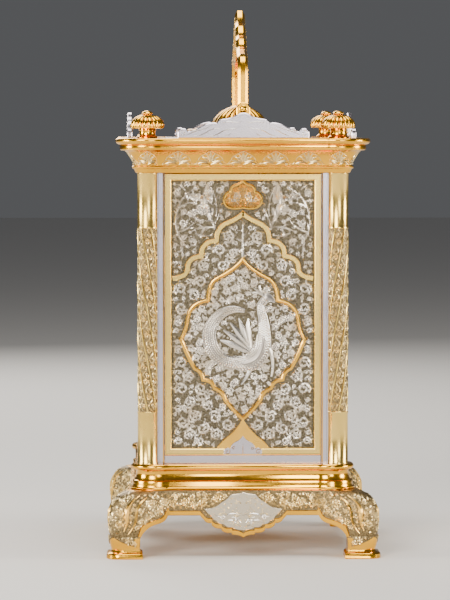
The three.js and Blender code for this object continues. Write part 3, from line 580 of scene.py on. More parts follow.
class Form:
    """A mesh under construction: points in millimetres, faces, and each face's finish."""

    def __init__(self) -> None:
        """Starts an empty form."""
        self.points: list[np.ndarray] = []
        self.faces: list[tuple[int, ...]] = []
        self.face_finish: list[Finish] = []
        self.count = 0

    def add(self, points: np.ndarray, faces: Iterable[Sequence[int]], finish: Finish,
            place: Placing | None = None) -> None:
        """Adds points and faces.

        Args:
            points: Array of points.
            faces: Faces by point number, counted within these points.
            finish: Finish of the faces.
            place: Puts flat work in its place; None where the points are already in place.
        """
        points = np.asarray(points, float)
        if place is not None:
            points = place(points)
        start = self.count
        rows = [tuple(int(i) + start for i in face) for face in faces]
        self.points.append(points)
        self.faces.extend(rows)
        self.face_finish.extend([finish] * len(rows))
        self.count += len(points)

    def grid(self, rows: np.ndarray, finish: Finish, place: Placing | None = None, round_u: bool = False,
             round_v: bool = False, caps: bool = False) -> None:
        """Adds a net of quads.

        Args:
            rows: Array of shape (rows, columns, 3).
            finish: Finish of the faces.
            place: Puts flat work in its place.
            round_u: Joins the last row to the first.
            round_v: Joins the last column to the first.
            caps: Closes the first and last row with a face each.
        """
        height, width = rows.shape[:2]
        faces = []
        for i in range(height if round_u else height - 1):
            for j in range(width if round_v else width - 1):
                below, beside = (i + 1) % height, (j + 1) % width
                faces.append((i * width + j, i * width + beside, below * width + beside, below * width + j))
        if caps:
            faces.append(tuple(range(width))[::-1])
            faces.append(tuple((height - 1) * width + j for j in range(width)))
        self.add(rows.reshape(-1, 3), faces, finish, place)

    def band(self, path: np.ndarray, section: Sequence[Point2], finish: Finish, place: Placing,
             closed: bool = False) -> None:
        """Runs a moulding section along a flat path, with mitred corners.

        Args:
            path: Points of the path.
            section: Closed section as (offset to the left, height) pairs.
            finish: Finish of the moulding.
            place: Puts the flat work in its place.
            closed: Whether the path runs back to its start.
        """
        normals = mitre_normals(path, closed)
        rows = np.array([[(*(p + n * offset), height) for offset, height in section]
                         for p, n in zip(path, normals)])
        self.grid(rows, finish, place, round_u=closed, round_v=True, caps=not closed)

    def slab(self, outline: np.ndarray, low: float, high: float, finish: Finish, place: Placing,
             bevel: float = 0.0, both: bool = False) -> None:
        """Flat plate with an optional bevel round its upper edge.

        Args:
            outline: Corners, counter-clockwise.
            low: Height of its back.
            high: Height of its face.
            finish: Finish of the plate.
            place: Puts the flat work in its place.
            bevel: Width of the bevel.
            both: Whether the back is bevelled too.
        """
        inner = outline + mitre_normals(outline, True) * bevel
        levels = [(inner, low), (outline, low + bevel)] if both else [(outline, low)]
        levels.append((outline, high - bevel))
        if bevel > 0:
            levels.append((inner, high))
        rows = np.array([[(*p, height) for p in edge] for edge, height in levels])
        self.grid(rows, finish, place, round_v=True, caps=True)

    def turned(self, profile: Sequence[Point2], axis: tuple[float, float], finish: Finish, steps: int = 32,
               place: Placing | None = None) -> None:
        """Turned work about an upright line.

        Args:
            profile: (radius, height) pairs; the first and last lie on the axis or close the section.
            axis: Where the line stands.
            finish: Finish of the work.
            steps: Number of facets round it.
            place: Turns the finished points into another direction.
        """
        angles = np.arange(steps) * 2 * math.pi / steps
        rows = np.array([[(axis[0] + r * math.cos(a), axis[1] + r * math.sin(a), z) for a in angles]
                         for r, z in profile])
        self.grid(rows, finish, place, round_v=True, caps=True)

    def take(self, other: "Form", change: Placing | None = None) -> None:
        """Adds a copy of another form, moved or mirrored by an optional change.

        Args:
            other: Form to take from.
            change: Change applied to each point, if any.
        """
        points = np.vstack(other.points)
        points = points if change is None else change(points)
        start = self.count
        self.points.append(points)
        self.faces.extend(tuple(i + start for i in face) for face in other.faces)
        self.face_finish.extend(other.face_finish)
        self.count += len(points)

    def piece(self, name: str, body: str, slot: str, *nodes: str,
              smooth_deg: float = 38.0) -> bpy.types.Object:
        """Turns the form into a finished object that rides on a body.

        Args:
            name: Name of the piece.
            body: Body that it moves with.
            slot: Material slot of the record; not used.
            nodes: CAD nodes that it stands for.
            smooth_deg: Edges sharper than this stay sharp.

        Returns:
            The object.
        """
        mesh = bpy.data.meshes.new(name)
        mesh.from_pydata((np.vstack(self.points) * MM).tolist(), [], self.faces)
        used = list(dict.fromkeys(self.face_finish))
        for finish in used:
            mesh.materials.append(finish.material)
        slots = {finish: i for i, finish in enumerate(used)}
        mesh.polygons.foreach_set("material_index", [slots[finish] for finish in self.face_finish])
        work = bmesh.new()
        work.from_mesh(mesh)
        bmesh.ops.remove_doubles(work, verts=work.verts, dist=WELD_MM * MM)
        bmesh.ops.recalc_face_normals(work, faces=work.faces)
        work.to_mesh(mesh)
        work.free()
        mesh.shade_smooth()
        mesh.set_sharp_from_angle(angle=math.radians(smooth_deg))
        piece = bpy.data.objects.new(name, mesh)
        bpy.context.scene.collection.objects.link(piece)
        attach(piece, body)
        if nodes:
            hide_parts(*nodes)
        LOG.info("%s: %d faces, on %s", name, len(mesh.polygons), body)
        return piece


def mirror_x(points: np.ndarray) -> np.ndarray:
    """Mirrors points from one narrow side to the other."""
    return points * np.array([-1, 1, 1])


def mirror_y(points: np.ndarray) -> np.ndarray:
    """Mirrors points from the front to the rear."""
    return points * np.array([1, -1, 1])


def into_corner(side_x: int, side_y: int) -> Placing:
    """Mirrors points from the right rear corner into another corner."""
    return lambda points: points * np.array([side_x, side_y, 1])


# ------------------------------------------------------------------ geometry node trees


class NodeWork:
    """A geometry node tree under construction, with named inputs."""

    def __init__(self, name: str, inputs: dict[str, tuple[str, object]]) -> None:
        """Starts a tree.

        Args:
            name: Name of the tree.
            inputs: Socket type and default of each named input.
        """
        self.tree = bpy.data.node_groups.new(name, "GeometryNodeTree")
        self.tree.interface.new_socket("Geometry", in_out="INPUT", socket_type="NodeSocketGeometry")
        for label, (kind, default) in inputs.items():
            socket = self.tree.interface.new_socket(label, in_out="INPUT", socket_type=kind)
            if default is not None:
                socket.default_value = default
        self.tree.interface.new_socket("Geometry", in_out="OUTPUT", socket_type="NodeSocketGeometry")
        self.start = self.tree.nodes.new("NodeGroupInput")
        self.end = self.tree.nodes.new("NodeGroupOutput")

    def node(self, kind: str, links: dict[str | int, object] | None = None,
             **settings: object) -> bpy.types.Node:
        """Adds a node.

        Args:
            kind: Node type.
            links: Value or socket for each input, by name or number.
            settings: Settings of the node itself.

        Returns:
            The node.
        """
        node = self.tree.nodes.new(kind)
        for label, value in settings.items():
            setattr(node, label, value)
        for label, value in (links or {}).items():
            if isinstance(value, bpy.types.NodeSocket):
                self.tree.links.new(value, node.inputs[label])
            else:
                node.inputs[label].default_value = value
        return node

    def finish(self, geometry: bpy.types.NodeSocket) -> bpy.types.NodeTree:
        """Ends the tree in Realize Instances and Set Material.

        Args:
            geometry: Geometry socket to end with.

        Returns:
            The finished node tree.
        """
        real = self.node("GeometryNodeRealizeInstances", {"Geometry": geometry})
        dressed = self.node("GeometryNodeSetMaterial", {
            "Geometry": real.outputs["Geometry"], "Material": self.start.outputs["Material"],
        })
        self.tree.links.new(dressed.outputs["Geometry"], self.end.inputs["Geometry"])
        return self.tree


def run_tree(base: bpy.types.Object, tree: bpy.types.NodeTree, values: dict[str, object]
             ) -> tuple[np.ndarray, list[tuple[int, ...]]]:
    """Runs a geometry node tree on an object and takes the plain mesh.

    Args:
        base: Object that holds the curves or points; it is removed afterwards.
        tree: The node tree.
        values: Value of each named input.

    Returns:
        Points in the object's own units, and faces.
    """
    modifier = base.modifiers.new(tree.name, "NODES")
    modifier.node_group = tree
    names = {item.name: item.identifier for item in tree.interface.items_tree if item.in_out == "INPUT"}
    for label, value in values.items():
        modifier[names[label]] = value
    bpy.context.view_layer.update()
    graph = bpy.context.evaluated_depsgraph_get()
    mesh = bpy.data.meshes.new_from_object(base.evaluated_get(graph), depsgraph=graph)
    points = np.empty(len(mesh.vertices) * 3)
    mesh.vertices.foreach_get("co", points)
    faces = [tuple(face.vertices) for face in mesh.polygons]
    base.modifiers.remove(modifier)
    bpy.data.objects.remove(base)
    bpy.data.meshes.remove(mesh)
    return points.reshape(-1, 3), faces


def hidden_pattern(name: str, points: np.ndarray, faces: Sequence[Sequence[int]]) -> bpy.types.Object:
    """Object that a tree instances; it is removed by clear_patterns before the scene is finished.

    Args:
        name: Name of the object and its mesh.
        points: Points of its mesh.
        faces: Faces, as rows of point numbers.

    Returns:
        The object, listed in PATTERNS.
    """
    mesh = bpy.data.meshes.new(name)
    mesh.from_pydata(np.asarray(points, float).tolist(), [], [tuple(face) for face in faces])
    pattern = bpy.data.objects.new(name, mesh)
    bpy.context.scene.collection.objects.link(pattern)
    PATTERNS.append(pattern)
    return pattern


def clear_patterns() -> None:
    """Removes the instanced patterns once every mesh is made."""
    while PATTERNS:
        bpy.data.objects.remove(PATTERNS.pop())


# ------------------------------------------------------------------ chased ornament


@dataclass
class Stroke:
    """One stroke of relief: a flat path and its half-width at each point."""

    path: np.ndarray
    widths: np.ndarray


def tapered(path: np.ndarray, widths: Sequence[float], spacing: float) -> Stroke:
    """Stroke along a path, with widths spread evenly along it.

    Args:
        path: Points of the path.
        widths: Half-widths, spread evenly from end to end.
        spacing: Distance between points in mm.

    Returns:
        The stroke.
    """
    points = resampled(path, spacing)
    along = np.linspace(0, 1, len(points))
    return Stroke(points, np.interp(along, np.linspace(0, 1, len(widths)), widths))


def spiral(centre: Point2, radius: float, start: float, hand: int) -> Stroke:
    """Vine that winds into a circle.

    Args:
        centre: Middle of the circle.
        radius: Its radius.
        start: Angle where the vine enters.
        hand: 1 or -1, the way it winds.

    Returns:
        The vine, thinning towards the middle.
    """
    turns = 1.4 if radius > 1.6 else 1.0
    t = np.linspace(0, 1, 15 if radius > 1.6 else 10)
    angle = start + hand * 2 * math.pi * turns * t
    reach = radius * (0.92 - 0.70 * t)
    path = np.stack([centre[0] + reach * np.cos(angle), centre[1] + reach * np.sin(angle)], axis=1)
    thick = 0.2 + 0.08 * radius
    return Stroke(path, thick * (1 - 0.3 * t))


def pack_circles(outline: np.ndarray, barriers: Sequence[tuple[np.ndarray, float]], largest: float,
                 smallest: float) -> list[tuple[float, float, float]]:
    """Fills an outline with touching circles, largest first.

    Args:
        outline: Closed outline of the field.
        barriers: Paths that circles keep off, each with its half-width.
        largest: Largest radius.
        smallest: Smallest radius.

    Returns:
        Centre and radius of each circle.
    """
    low, high = outline.min(axis=0), outline.max(axis=0)
    across = np.arange(low[0], high[0], PACKING_STEP)
    up = np.arange(low[1], high[1], PACKING_STEP)
    points = np.stack(np.meshgrid(across, up), axis=-1).reshape(-1, 2)
    points = points[inside_outline(points, outline)]
    room = distance_to_path(points, np.vstack([outline, outline[:1]]))
    for path, half_width in barriers:
        room = np.minimum(room, distance_to_path(points, path) - half_width)
    circles = []
    for radius in largest * np.array([1, 0.82, 0.66, 0.52, 0.41, 0.32, 0.25, 0.19]):
        if radius < smallest:
            break
        while True:
            free = np.nonzero(room >= radius)[0]
            if not len(free):
                break
            best = free[np.argmin(room[free] + 1e-4 * points[free, 1])]
            centre = points[best]
            circles.append((float(centre[0]), float(centre[1]), float(radius)))
            room = np.minimum(room, np.linalg.norm(points - centre, axis=1) - radius)
    return circles


class Chaser:
    """Lays out arabesques and raises them as relief with geometry nodes."""

    def __init__(self) -> None:
        """Builds the leaf and flower patterns and the tree that carries them along the vines."""
        self.leaf = hidden_pattern("vine_leaf", *self.leaf_mesh())
        self.flower = hidden_pattern("vine_flower", *self.flower_mesh())
        self.tree = self.vine_tree()

    @staticmethod
    def leaf_mesh() -> tuple[np.ndarray, list[tuple[int, ...]]]:
        """Curled leaf of unit length along +X, ridged above and below.

        Returns:
            Points and faces.
        """
        stations = [(0.0, 0.04), (0.3, 0.25), (0.65, 0.21), (1.0, 0.01)]
        points, faces = [], []
        for x, half in stations:
            bend = 0.3 * x * x
            points += [(x, bend - half, 0), (x, bend, half * 1.1), (x, bend + half, 0), (x, bend, -half)]
        for i in range(len(stations) - 1):
            for k in range(4):
                a, b = 4 * i + k, 4 * i + (k + 1) % 4
                faces.append((a, b, b + 4, a + 4))
        faces += [(3, 2, 1, 0), (12, 13, 14, 15)]
        return np.array(points), faces

    @staticmethod
    def flower_mesh() -> tuple[np.ndarray, list[tuple[int, ...]]]:
        """Six-petalled flower of unit radius, lying flat.

        Returns:
            Points and faces.
        """
        points, faces = [(0, 0, 0.55)], []
        rings = [(0.3, 0.3, 0.35, 0.35), (0.8, 0.62, 0.5, 0.12), (1.0, 0.62, -0.15, -0.15)]
        for tip, notch, tip_z, notch_z in rings:
            for k in range(12):
                radius, height = (tip, tip_z) if k % 2 == 0 else (notch, notch_z)
                angle = k * math.pi / 6
                points.append((radius * math.cos(angle), radius * math.sin(angle), height))
        points.append((0, 0, -0.3))
        for k in range(12):
            after = (k + 1) % 12
            faces.append((0, 1 + k, 1 + after))
            for ring in (1, 13):
                faces.append((ring + k, ring + 12 + k, ring + 12 + after, ring + after))
            faces.append((25 + k, 37, 25 + after))
        return np.array(points), faces

    @staticmethod
    def vine_tree() -> bpy.types.NodeTree:
        """Tree that sweeps a ridge along each vine and sets leaves and flowers on it.

        Returns:
            The tree; its inputs are named after what they size.
        """
        work = NodeWork("chased_vine", {
            "Leaf": ("NodeSocketObject", None), "Flower": ("NodeSocketObject", None),
            "Leaf Spacing": ("NodeSocketFloat", 1.0), "Leaf Size": ("NodeSocketFloat", 4.0),
            "Flower Size": ("NodeSocketFloat", 2.0), "Ridge Height": ("NodeSocketFloat", 1.0),
            "Seed": ("NodeSocketInt", 1), "Material": ("NodeSocketMaterial", None),
        })
        given = work.start.outputs
        upright = work.node("GeometryNodeSetCurveNormal", {"Curve": given["Geometry"]}, mode="Z_UP")
        width = work.node("GeometryNodeInputRadius").outputs["Radius"]
        section = work.node("GeometryNodeCurvePrimitiveCircle", {"Resolution": 4, "Radius": 1.0})
        stems = work.node("GeometryNodeCurveToMesh", {
            "Curve": upright.outputs["Curve"], "Profile Curve": section.outputs["Curve"],
            "Scale": width, "Fill Caps": True,
        })
        spaced = work.node("GeometryNodeResampleCurve", {
            "Curve": upright.outputs["Curve"], "Length": given["Leaf Spacing"],
        }, mode="LENGTH")
        tangent = work.node("GeometryNodeInputTangent").outputs["Tangent"]
        along = work.node("FunctionNodeAlignRotationToVector", {"Vector": tangent}, axis="X",
                          pivot_axis="Z")
        number = work.node("GeometryNodeInputIndex").outputs["Index"]
        parity = work.node("ShaderNodeMath", {0: number, 1: 2.0}, operation="MODULO")
        side = work.node("ShaderNodeMath", {0: parity.outputs[0], 1: 1.9, 2: -0.95},
                         operation="MULTIPLY_ADD")
        sway = work.node("FunctionNodeRandomValue", {2: -0.25, 3: 0.25, "Seed": given["Seed"]},
                         data_type="FLOAT")
        lean = work.node("ShaderNodeMath", {0: side.outputs[0], 1: sway.outputs[1]}, operation="ADD")
        turn = work.node("ShaderNodeCombineXYZ", {"Z": lean.outputs[0]})
        leaning = work.node("FunctionNodeRotateRotation", {
            "Rotation": along.outputs["Rotation"], "Rotate By": turn.outputs[0],
        }, rotation_space="LOCAL")
        spread = work.node("FunctionNodeRandomValue", {2: 0.75, 3: 1.2, "Seed": given["Seed"]},
                           data_type="FLOAT")
        leaf_scale = work.node("ShaderNodeMath", {0: given["Leaf Size"], 1: spread.outputs[1]},
                               operation="MULTIPLY")
        leaf_scale = work.node("ShaderNodeMath", {0: leaf_scale.outputs[0], 1: width}, operation="MULTIPLY")
        leaf = work.node("GeometryNodeObjectInfo", {"Object": given["Leaf"]})
        leaves = work.node("GeometryNodeInstanceOnPoints", {
            "Points": spaced.outputs["Curve"], "Instance": leaf.outputs["Geometry"],
            "Rotation": leaning.outputs["Rotation"], "Scale": leaf_scale.outputs[0],
        })
        tip = work.node("GeometryNodeCurveEndpointSelection", {"Start Size": 0, "End Size": 1})
        flower_scale = work.node("ShaderNodeMath", {0: given["Flower Size"], 1: width},
                                 operation="MULTIPLY")
        flower = work.node("GeometryNodeObjectInfo", {"Object": given["Flower"]})
        flowers = work.node("GeometryNodeInstanceOnPoints", {
            "Points": given["Geometry"], "Selection": tip.outputs["Selection"],
            "Instance": flower.outputs["Geometry"], "Scale": flower_scale.outputs[0],
        })
        everything = work.node("GeometryNodeJoinGeometry")
        for socket in (stems.outputs["Mesh"], leaves.outputs["Instances"], flowers.outputs["Instances"]):
            work.tree.links.new(socket, everything.inputs["Geometry"])
        flat = work.node("ShaderNodeCombineXYZ", {"X": 1.0, "Y": 1.0, "Z": given["Ridge Height"]})
        raised = work.node("GeometryNodeTransform", {
            "Geometry": everything.outputs["Geometry"], "Scale": flat.outputs[0],
        })
        return work.finish(raised.outputs["Geometry"])

    def raise_strokes(self, strokes: Sequence[Stroke], seed: int, leaf: float = 4.3, flower: float = 1.7,
                      spacing: float = 1.1, height: float = 1.0) -> tuple[np.ndarray,
                                                                          list[tuple[int, ...]]]:
        """Turns strokes into flat relief.

        Args:
            strokes: The strokes.
            seed: Seed of the leaves' sway and size.
            leaf: Leaf length, in stem half-widths; 0 leaves them out.
            flower: Flower radius, in stem half-widths; 0 leaves them out.
            spacing: Distance between leaves.
            height: Height of a ridge, in stem half-widths.

        Returns:
            Points as (u, v, height) and faces.
        """
        data = bpy.data.curves.new("strokes", "CURVE")
        data.dimensions = "3D"
        for stroke in strokes:
            spline = data.splines.new("POLY")
            spline.points.add(len(stroke.path) - 1)
            flat = np.zeros((len(stroke.path), 4))
            flat[:, :2] = stroke.path
            flat[:, 3] = 1.0
            spline.points.foreach_set("co", flat.ravel())
            spline.points.foreach_set("radius", stroke.widths)
        base = bpy.data.objects.new("strokes", data)
        bpy.context.scene.collection.objects.link(base)
        return run_tree(base, self.tree, {
            "Leaf": self.leaf, "Flower": self.flower, "Leaf Spacing": spacing, "Leaf Size": leaf,
            "Flower Size": flower, "Ridge Height": height, "Seed": seed,
            "Material": Finish.SILVER_RELIEF.material,
        })

    def fill(self, outline: np.ndarray, barriers: Sequence[tuple[np.ndarray, float]], largest: float,
             smallest: float, seed: int) -> tuple[list[Stroke], list[Stroke]]:
        """Fills a field with spiral vines, and buds where no vine fits.

        Args:
            outline: Closed outline of the field.
            barriers: Paths to keep off, each with its half-width.
            largest: Radius of the largest vine.
            smallest: Radius of the smallest bud.
            seed: Seed of the vines' turns.

        Returns:
            Vines and buds.
        """
        draw = random.Random(seed)
        vines, buds = [], []
        for x, y, radius in pack_circles(outline, barriers, largest, smallest):
            angle = draw.uniform(0, 2 * math.pi)
            if radius > 0.8:
                vines.append(spiral((x, y), radius, angle, draw.choice((1, -1))))
            else:
                reach = 0.85 * radius * np.array([math.cos(angle), math.sin(angle)])
                path = np.array([(x, y) - reach, (x, y) + 0.1 * reach, (x, y) + reach])
                buds.append(Stroke(path, radius * np.array([0.2, 0.72, 0.1])))
        return vines, buds

    def carpet(self, form: Form, outline: np.ndarray, barriers: Sequence[tuple[np.ndarray, float]],
               largest: float, smallest: float, seed: int, finish: Finish, place: Placing,
               mirrored: bool = True, height: float = 1.0) -> None:
        """Covers a field, and its mirror image about u = 0 where asked, with arabesque.

        Args:
            form: Form that takes the relief.
            outline: Closed outline of the field.
            barriers: Paths to keep off, each with its half-width.
            largest: Radius of the largest vine.
            smallest: Radius of the smallest bud.
            seed: Seed of the layout.
            finish: Finish of the relief.
            place: Puts the flat work in its place.
            mirrored: Whether to add the mirror image.
            height: Height of a ridge, in stem half-widths.
        """
        vines, buds = self.fill(outline, barriers, largest, smallest, seed)
        works = []
        if vines:
            works.append(self.raise_strokes(vines, seed, spacing=min(0.36 * largest, 1.0), height=height))
        if buds:
            works.append(self.raise_strokes(buds, seed, leaf=0.0, flower=0.0, height=height))
        for points, faces in works:
            form.add(points, faces, finish, place)
            if mirrored:
                form.add(points * np.array([-1, 1, 1]), [face[::-1] for face in faces], finish, place)


# ------------------------------------------------------------------ stage


@dataclass
class Studio:
    """Pale floor, soft lights and the camera that looks at the narrow side."""

    eye: tuple[float, float, float] = (1250.2, -37.1, 158.4)
    turn_deg: float = 1.45
    tilt_deg: float = 3.13
    lens_mm: float = 201.7
    floor_half: float = 4000.0

    def build(self) -> None:
        """Makes the floor, world, lights and camera."""
        self.add_floor()
        self.add_world()
        self.add_lights()
        self.add_camera()

    def add_floor(self) -> None:
        """Pale floor that the clock stands on."""
        half = self.floor_half * MM
        mesh = bpy.data.meshes.new("floor")
        corners = [(-half, -half, 0), (half, -half, 0), (half, half, 0), (-half, half, 0)]
        mesh.from_pydata(corners, [], [(0, 1, 2, 3)])
        floor = bpy.data.objects.new("floor", mesh)
        bpy.context.scene.collection.objects.link(floor)
        material, shader = start_material("floor_pale")
        shader.inputs["Base Color"].default_value = (0.80, 0.78, 0.75, 1.0)
        shader.inputs["Roughness"].default_value = 0.9
        mesh.materials.append(material)

    def add_world(self) -> None:
        """Dim, even surroundings."""
        world = bpy.data.worlds.new("studio")
        world.use_nodes = True
        background = world.node_tree.nodes["Background"]
        background.inputs["Color"].default_value = (0.86, 0.88, 0.92, 1.0)
        background.inputs["Strength"].default_value = 0.11
        bpy.context.scene.world = world

    def add_lights(self) -> None:
        """A key softbox by the camera, a top box and two side strips."""
        self.add_box_light("key", (900, -420, 520), (0, 0, 80), 420, 9, (1.0, 0.95, 0.87))
        self.add_box_light("front_fill", (1100, 260, 260), (0, 0, 80), 300, 3.2, (1.0, 0.97, 0.93))
        self.add_box_light("card", (1300, -40, 175), (0, 0, 110), 260, 0.35, (1.0, 0.97, 0.94))
        self.add_box_light("top", (80, 40, 800), (0, 0, 60), 450, 4.5, (1.0, 0.98, 0.95))
        self.add_box_light("strip_front", (150, -750, 220), (0, 0, 90), 260, 4.5, (1.0, 0.96, 0.9))
        self.add_box_light("strip_rear", (150, 750, 220), (0, 0, 90), 260, 4.5, (1.0, 0.93, 0.84))
        self.add_box_light("far_side", (-800, -200, 500), (0, 0, 80), 420, 4.5, (1.0, 0.96, 0.9))

    def add_box_light(self, name: str, place: Sequence[float], aim: Sequence[float], size: float,
                      watts: float,
                      colour: Colour) -> None:
        """Square softbox.

        Args:
            name: Name of the light.
            place: Where it hangs, in millimetres.
            aim: The point that it faces, in millimetres.
            size: Side of the box, in millimetres.
            watts: Its power.
            colour: Its colour.
        """
        data = bpy.data.lights.new(name, "AREA")
        data.size = size * MM
        data.energy = watts
        data.color = colour
        light = bpy.data.objects.new(name, data)
        light.location = Vector(place) * MM
        light.rotation_mode = "QUATERNION"
        light.rotation_quaternion = (Vector(aim) - Vector(place)).to_track_quat("-Z", "Y")
        bpy.context.scene.collection.objects.link(light)

    def add_camera(self) -> None:
        """Long lens at eye height, turned a little past the narrow side's square view."""
        data = bpy.data.cameras.new("camera")
        data.lens = self.lens_mm
        data.clip_start = 0.05
        data.clip_end = 20.0
        camera = bpy.data.objects.new("camera", data)
        turn = math.radians(self.turn_deg)
        tilt = math.radians(self.tilt_deg)
        ahead = Vector((-math.cos(turn) * math.cos(tilt), math.sin(turn) * math.cos(tilt), -math.sin(tilt)))
        camera.location = Vector(self.eye) * MM
        camera.rotation_mode = "QUATERNION"
        camera.rotation_quaternion = ahead.to_track_quat("-Z", "Y")
        bpy.context.scene.collection.objects.link(camera)
        bpy.context.scene.camera = camera


# ------------------------------------------------------------------ side panels


@dataclass
class SidePanel:
    """Chased panel of a narrow side: pointed arch, medallion with a bird, tongue and rail."""

    chaser: Chaser
    face: float = 38.3
    field_rise: float = 0.6
    rail_rise: float = 1.9
    tongue_rise: float = 0.2
    half_width: float = 28.2
    field_half: float = 25.5
    bottom: float = 33.0
    rail_top: float = 36.0
    field_bottom: float = 38.8
    field_top: float = 135.4

    def arch(self) -> np.ndarray:
        """Outer edge of the pointed arch, left side to right side."""
        half = curve_through([
            (-self.field_half, 100.7), (-21.2, 101.4, -20.9, 103.2), (-20.9, 108.3, -15.8, 108.8),
            (-15.6, 114.0, -10.3, 114.4), (-10.2, 119.2, -5.6, 121.0), (-1.6, 122.6, 0, 124.6),
        ])
        return mirrored_path(half)

    def medallion(self) -> np.ndarray:
        """Middle line of the medallion's border, from its foot round to its foot again."""
        half = curve_through([
            (0, 49.1), (-4.0, 52.6, -6.6, 56.3), (-6.9, 59.0, -10.2, 60.2), (-10.8, 63.0, -14.4, 63.3),
            (-14.8, 66.4, -17.3, 67.3), (-19.6, 70.8, -22.4, 78.0), (-20.4, 81.2, -20.0, 85.6),
            (-18.9, 91.2, -12.7, 92.0), (-12.5, 98.8, -8.6, 100.3), (-2.4, 103.4, 0, 106.9),
        ])
        return mirrored_path(half)

    def trefoil(self) -> np.ndarray:
        """Lotus bud that stands on the arch."""
        half = curve_through([
            (0, 125.6), (-6.4, 124.2, -6.8, 128.3), (-6.6, 130.9, -4.4, 131.1), (-4.5, 133.3, -2.4, 133.6),
            (-0.8, 134.2, 0, 135.2),
        ])
        return mirrored_path(half)

    def tongue(self) -> np.ndarray:
        """Ogee tongue that rises from the rail."""
        half = curve_through([
            (-6.9, self.rail_top), (-7.4, 38.5, -5.6, 38.7), (-4.8, 38.8, -4.6, 38.3),
                              (-4.1, 40.4, -2.4, 41.0),
            (-0.8, 41.7, 0, 43.2),
        ])
        return mirrored_path(half)

    def bird(self) -> list[Stroke]:
        """Bird with a coiled tail, fanned wing and upright neck.

        Returns:
            Its strokes, thick ones first.
        """
        around = np.radians(np.linspace(70, 305, 22))
        tail = np.stack([-2.6 + 9.6 * np.cos(around), 79.0 + 9.8 * np.sin(around)], axis=1)
        strokes = [
            tapered(tail, (0.5, 1.5, 2.1, 2.3, 2.0, 1.4), 0.9),
            tapered(curve_through([(-4.2, 70.6), (0, 67.6, 4.4, 70.6), (7.4, 73.2, 7.6, 79.4)]),
                    (1.6, 3.0, 3.1, 2.3), 0.8),
            tapered(curve_through([(7.5, 77), (8.2, 83.5, 6.6, 88), (6.2, 91.2, 8.4, 92.6)]),
                    (2.3, 1.7, 1.2, 1.2), 0.8),
            tapered(curve_through([(7.6, 92.4), (9.6, 93.8, 11.6, 91.4)]), (1.2, 1.5, 0.9, 0.15), 0.5),
        ]
        for tip_u, tip_v in ((-8.2, 77.6), (-7.0, 81.2), (-4.6, 84.0), (-1.4, 85.6), (2.0, 85.4)):
            feather = curve_through([(3.6, 72.6), (1.2 + tip_u * 0.1, 0.5 * (tip_v + 72), tip_u, tip_v)])
            strokes.append(tapered(feather, (0.7, 1.2, 1.1, 0.25), 0.8))
        for tip_u, tip_v in ((3.4, 94.6), (4.2, 96.4), (6.0, 97.4)):
            plume = curve_through([(7.8, 93.4), (6.0, 95.2, tip_u, tip_v)])
            strokes.append(tapered(plume, (0.4, 0.45, 0.35), 0.8))
        for hip, ankle, toe in (((3.0, 68.4), (2.0, 64.6), (-0.6, 61.6)),
                                ((9.6, 74.6), (11.6, 70.0), (10.4, 64.4))):
            leg = curve_through([hip, (*ankle, *toe)])
            strokes.append(tapered(leg, (1.1, 0.6, 0.45, 0.3), 0.8))
        return strokes

    def scales(self, strokes: Sequence[Stroke]) -> list[Stroke]:
        """Rows of small scales that lie along thick strokes.

        Args:
            strokes: Strokes that carry the scales.

        Returns:
            One short stroke for each scale.
        """
        scales = []
        for stroke in strokes:
            path = resampled(stroke.path, 0.85)
            widths = np.interp(np.linspace(0, 1, len(path)), np.linspace(0, 1, len(stroke.widths)),
                               stroke.widths)
            normals = mitre_normals(path, False)
            for i in range(1, len(path) - 1):
                rows = max(int(widths[i] / 0.75), 0)
                for row in range(-rows, rows + 1):
                    shift = 0.42 if row % 2 else 0.0
                    along = path[i + 1] - path[i]
                    centre = path[i] + normals[i] * row * 0.72 + along * shift
                    scales.append(Stroke(np.array([centre - 0.36 * along, centre + 0.1 * along,
                                                   centre + 0.42 * along]),
                                         np.array([0.3, 0.34, 0.08])))
        return scales

    def build(self) -> Form:
        """Builds the panel of the right side.

        Returns:
            The form, in place.
        """
        form = Form()
        ground, field = on_side(1, self.face), on_side(1, self.face + self.field_rise)
        half, top = self.half_width, span("side_panel_right")[1][2]
        plate = np.array([(-half, self.bottom), (half, self.bottom), (half, top), (-half, top)])
        form.slab(plate, -1.5, 0.0, Finish.SILVER_GROUND, ground)
        self.add_field(form, ground)
        self.add_borders(form, ground)
        self.add_rail(form, ground)
        self.add_arabesques(form, ground, field)
        return form

    def add_field(self, form: Form, ground: Placing) -> None:
        """Raised field below the arch.

        Args:
            form: Form to add to.
            ground: Places flat work on the panel's face.
        """
        arch = self.arch()
        outline = np.vstack([[(-self.field_half, self.bottom), (self.field_half, self.bottom)], arch[::-1]])
        form.slab(outline, -0.2, self.field_rise, Finish.SILVER_GROUND, ground)

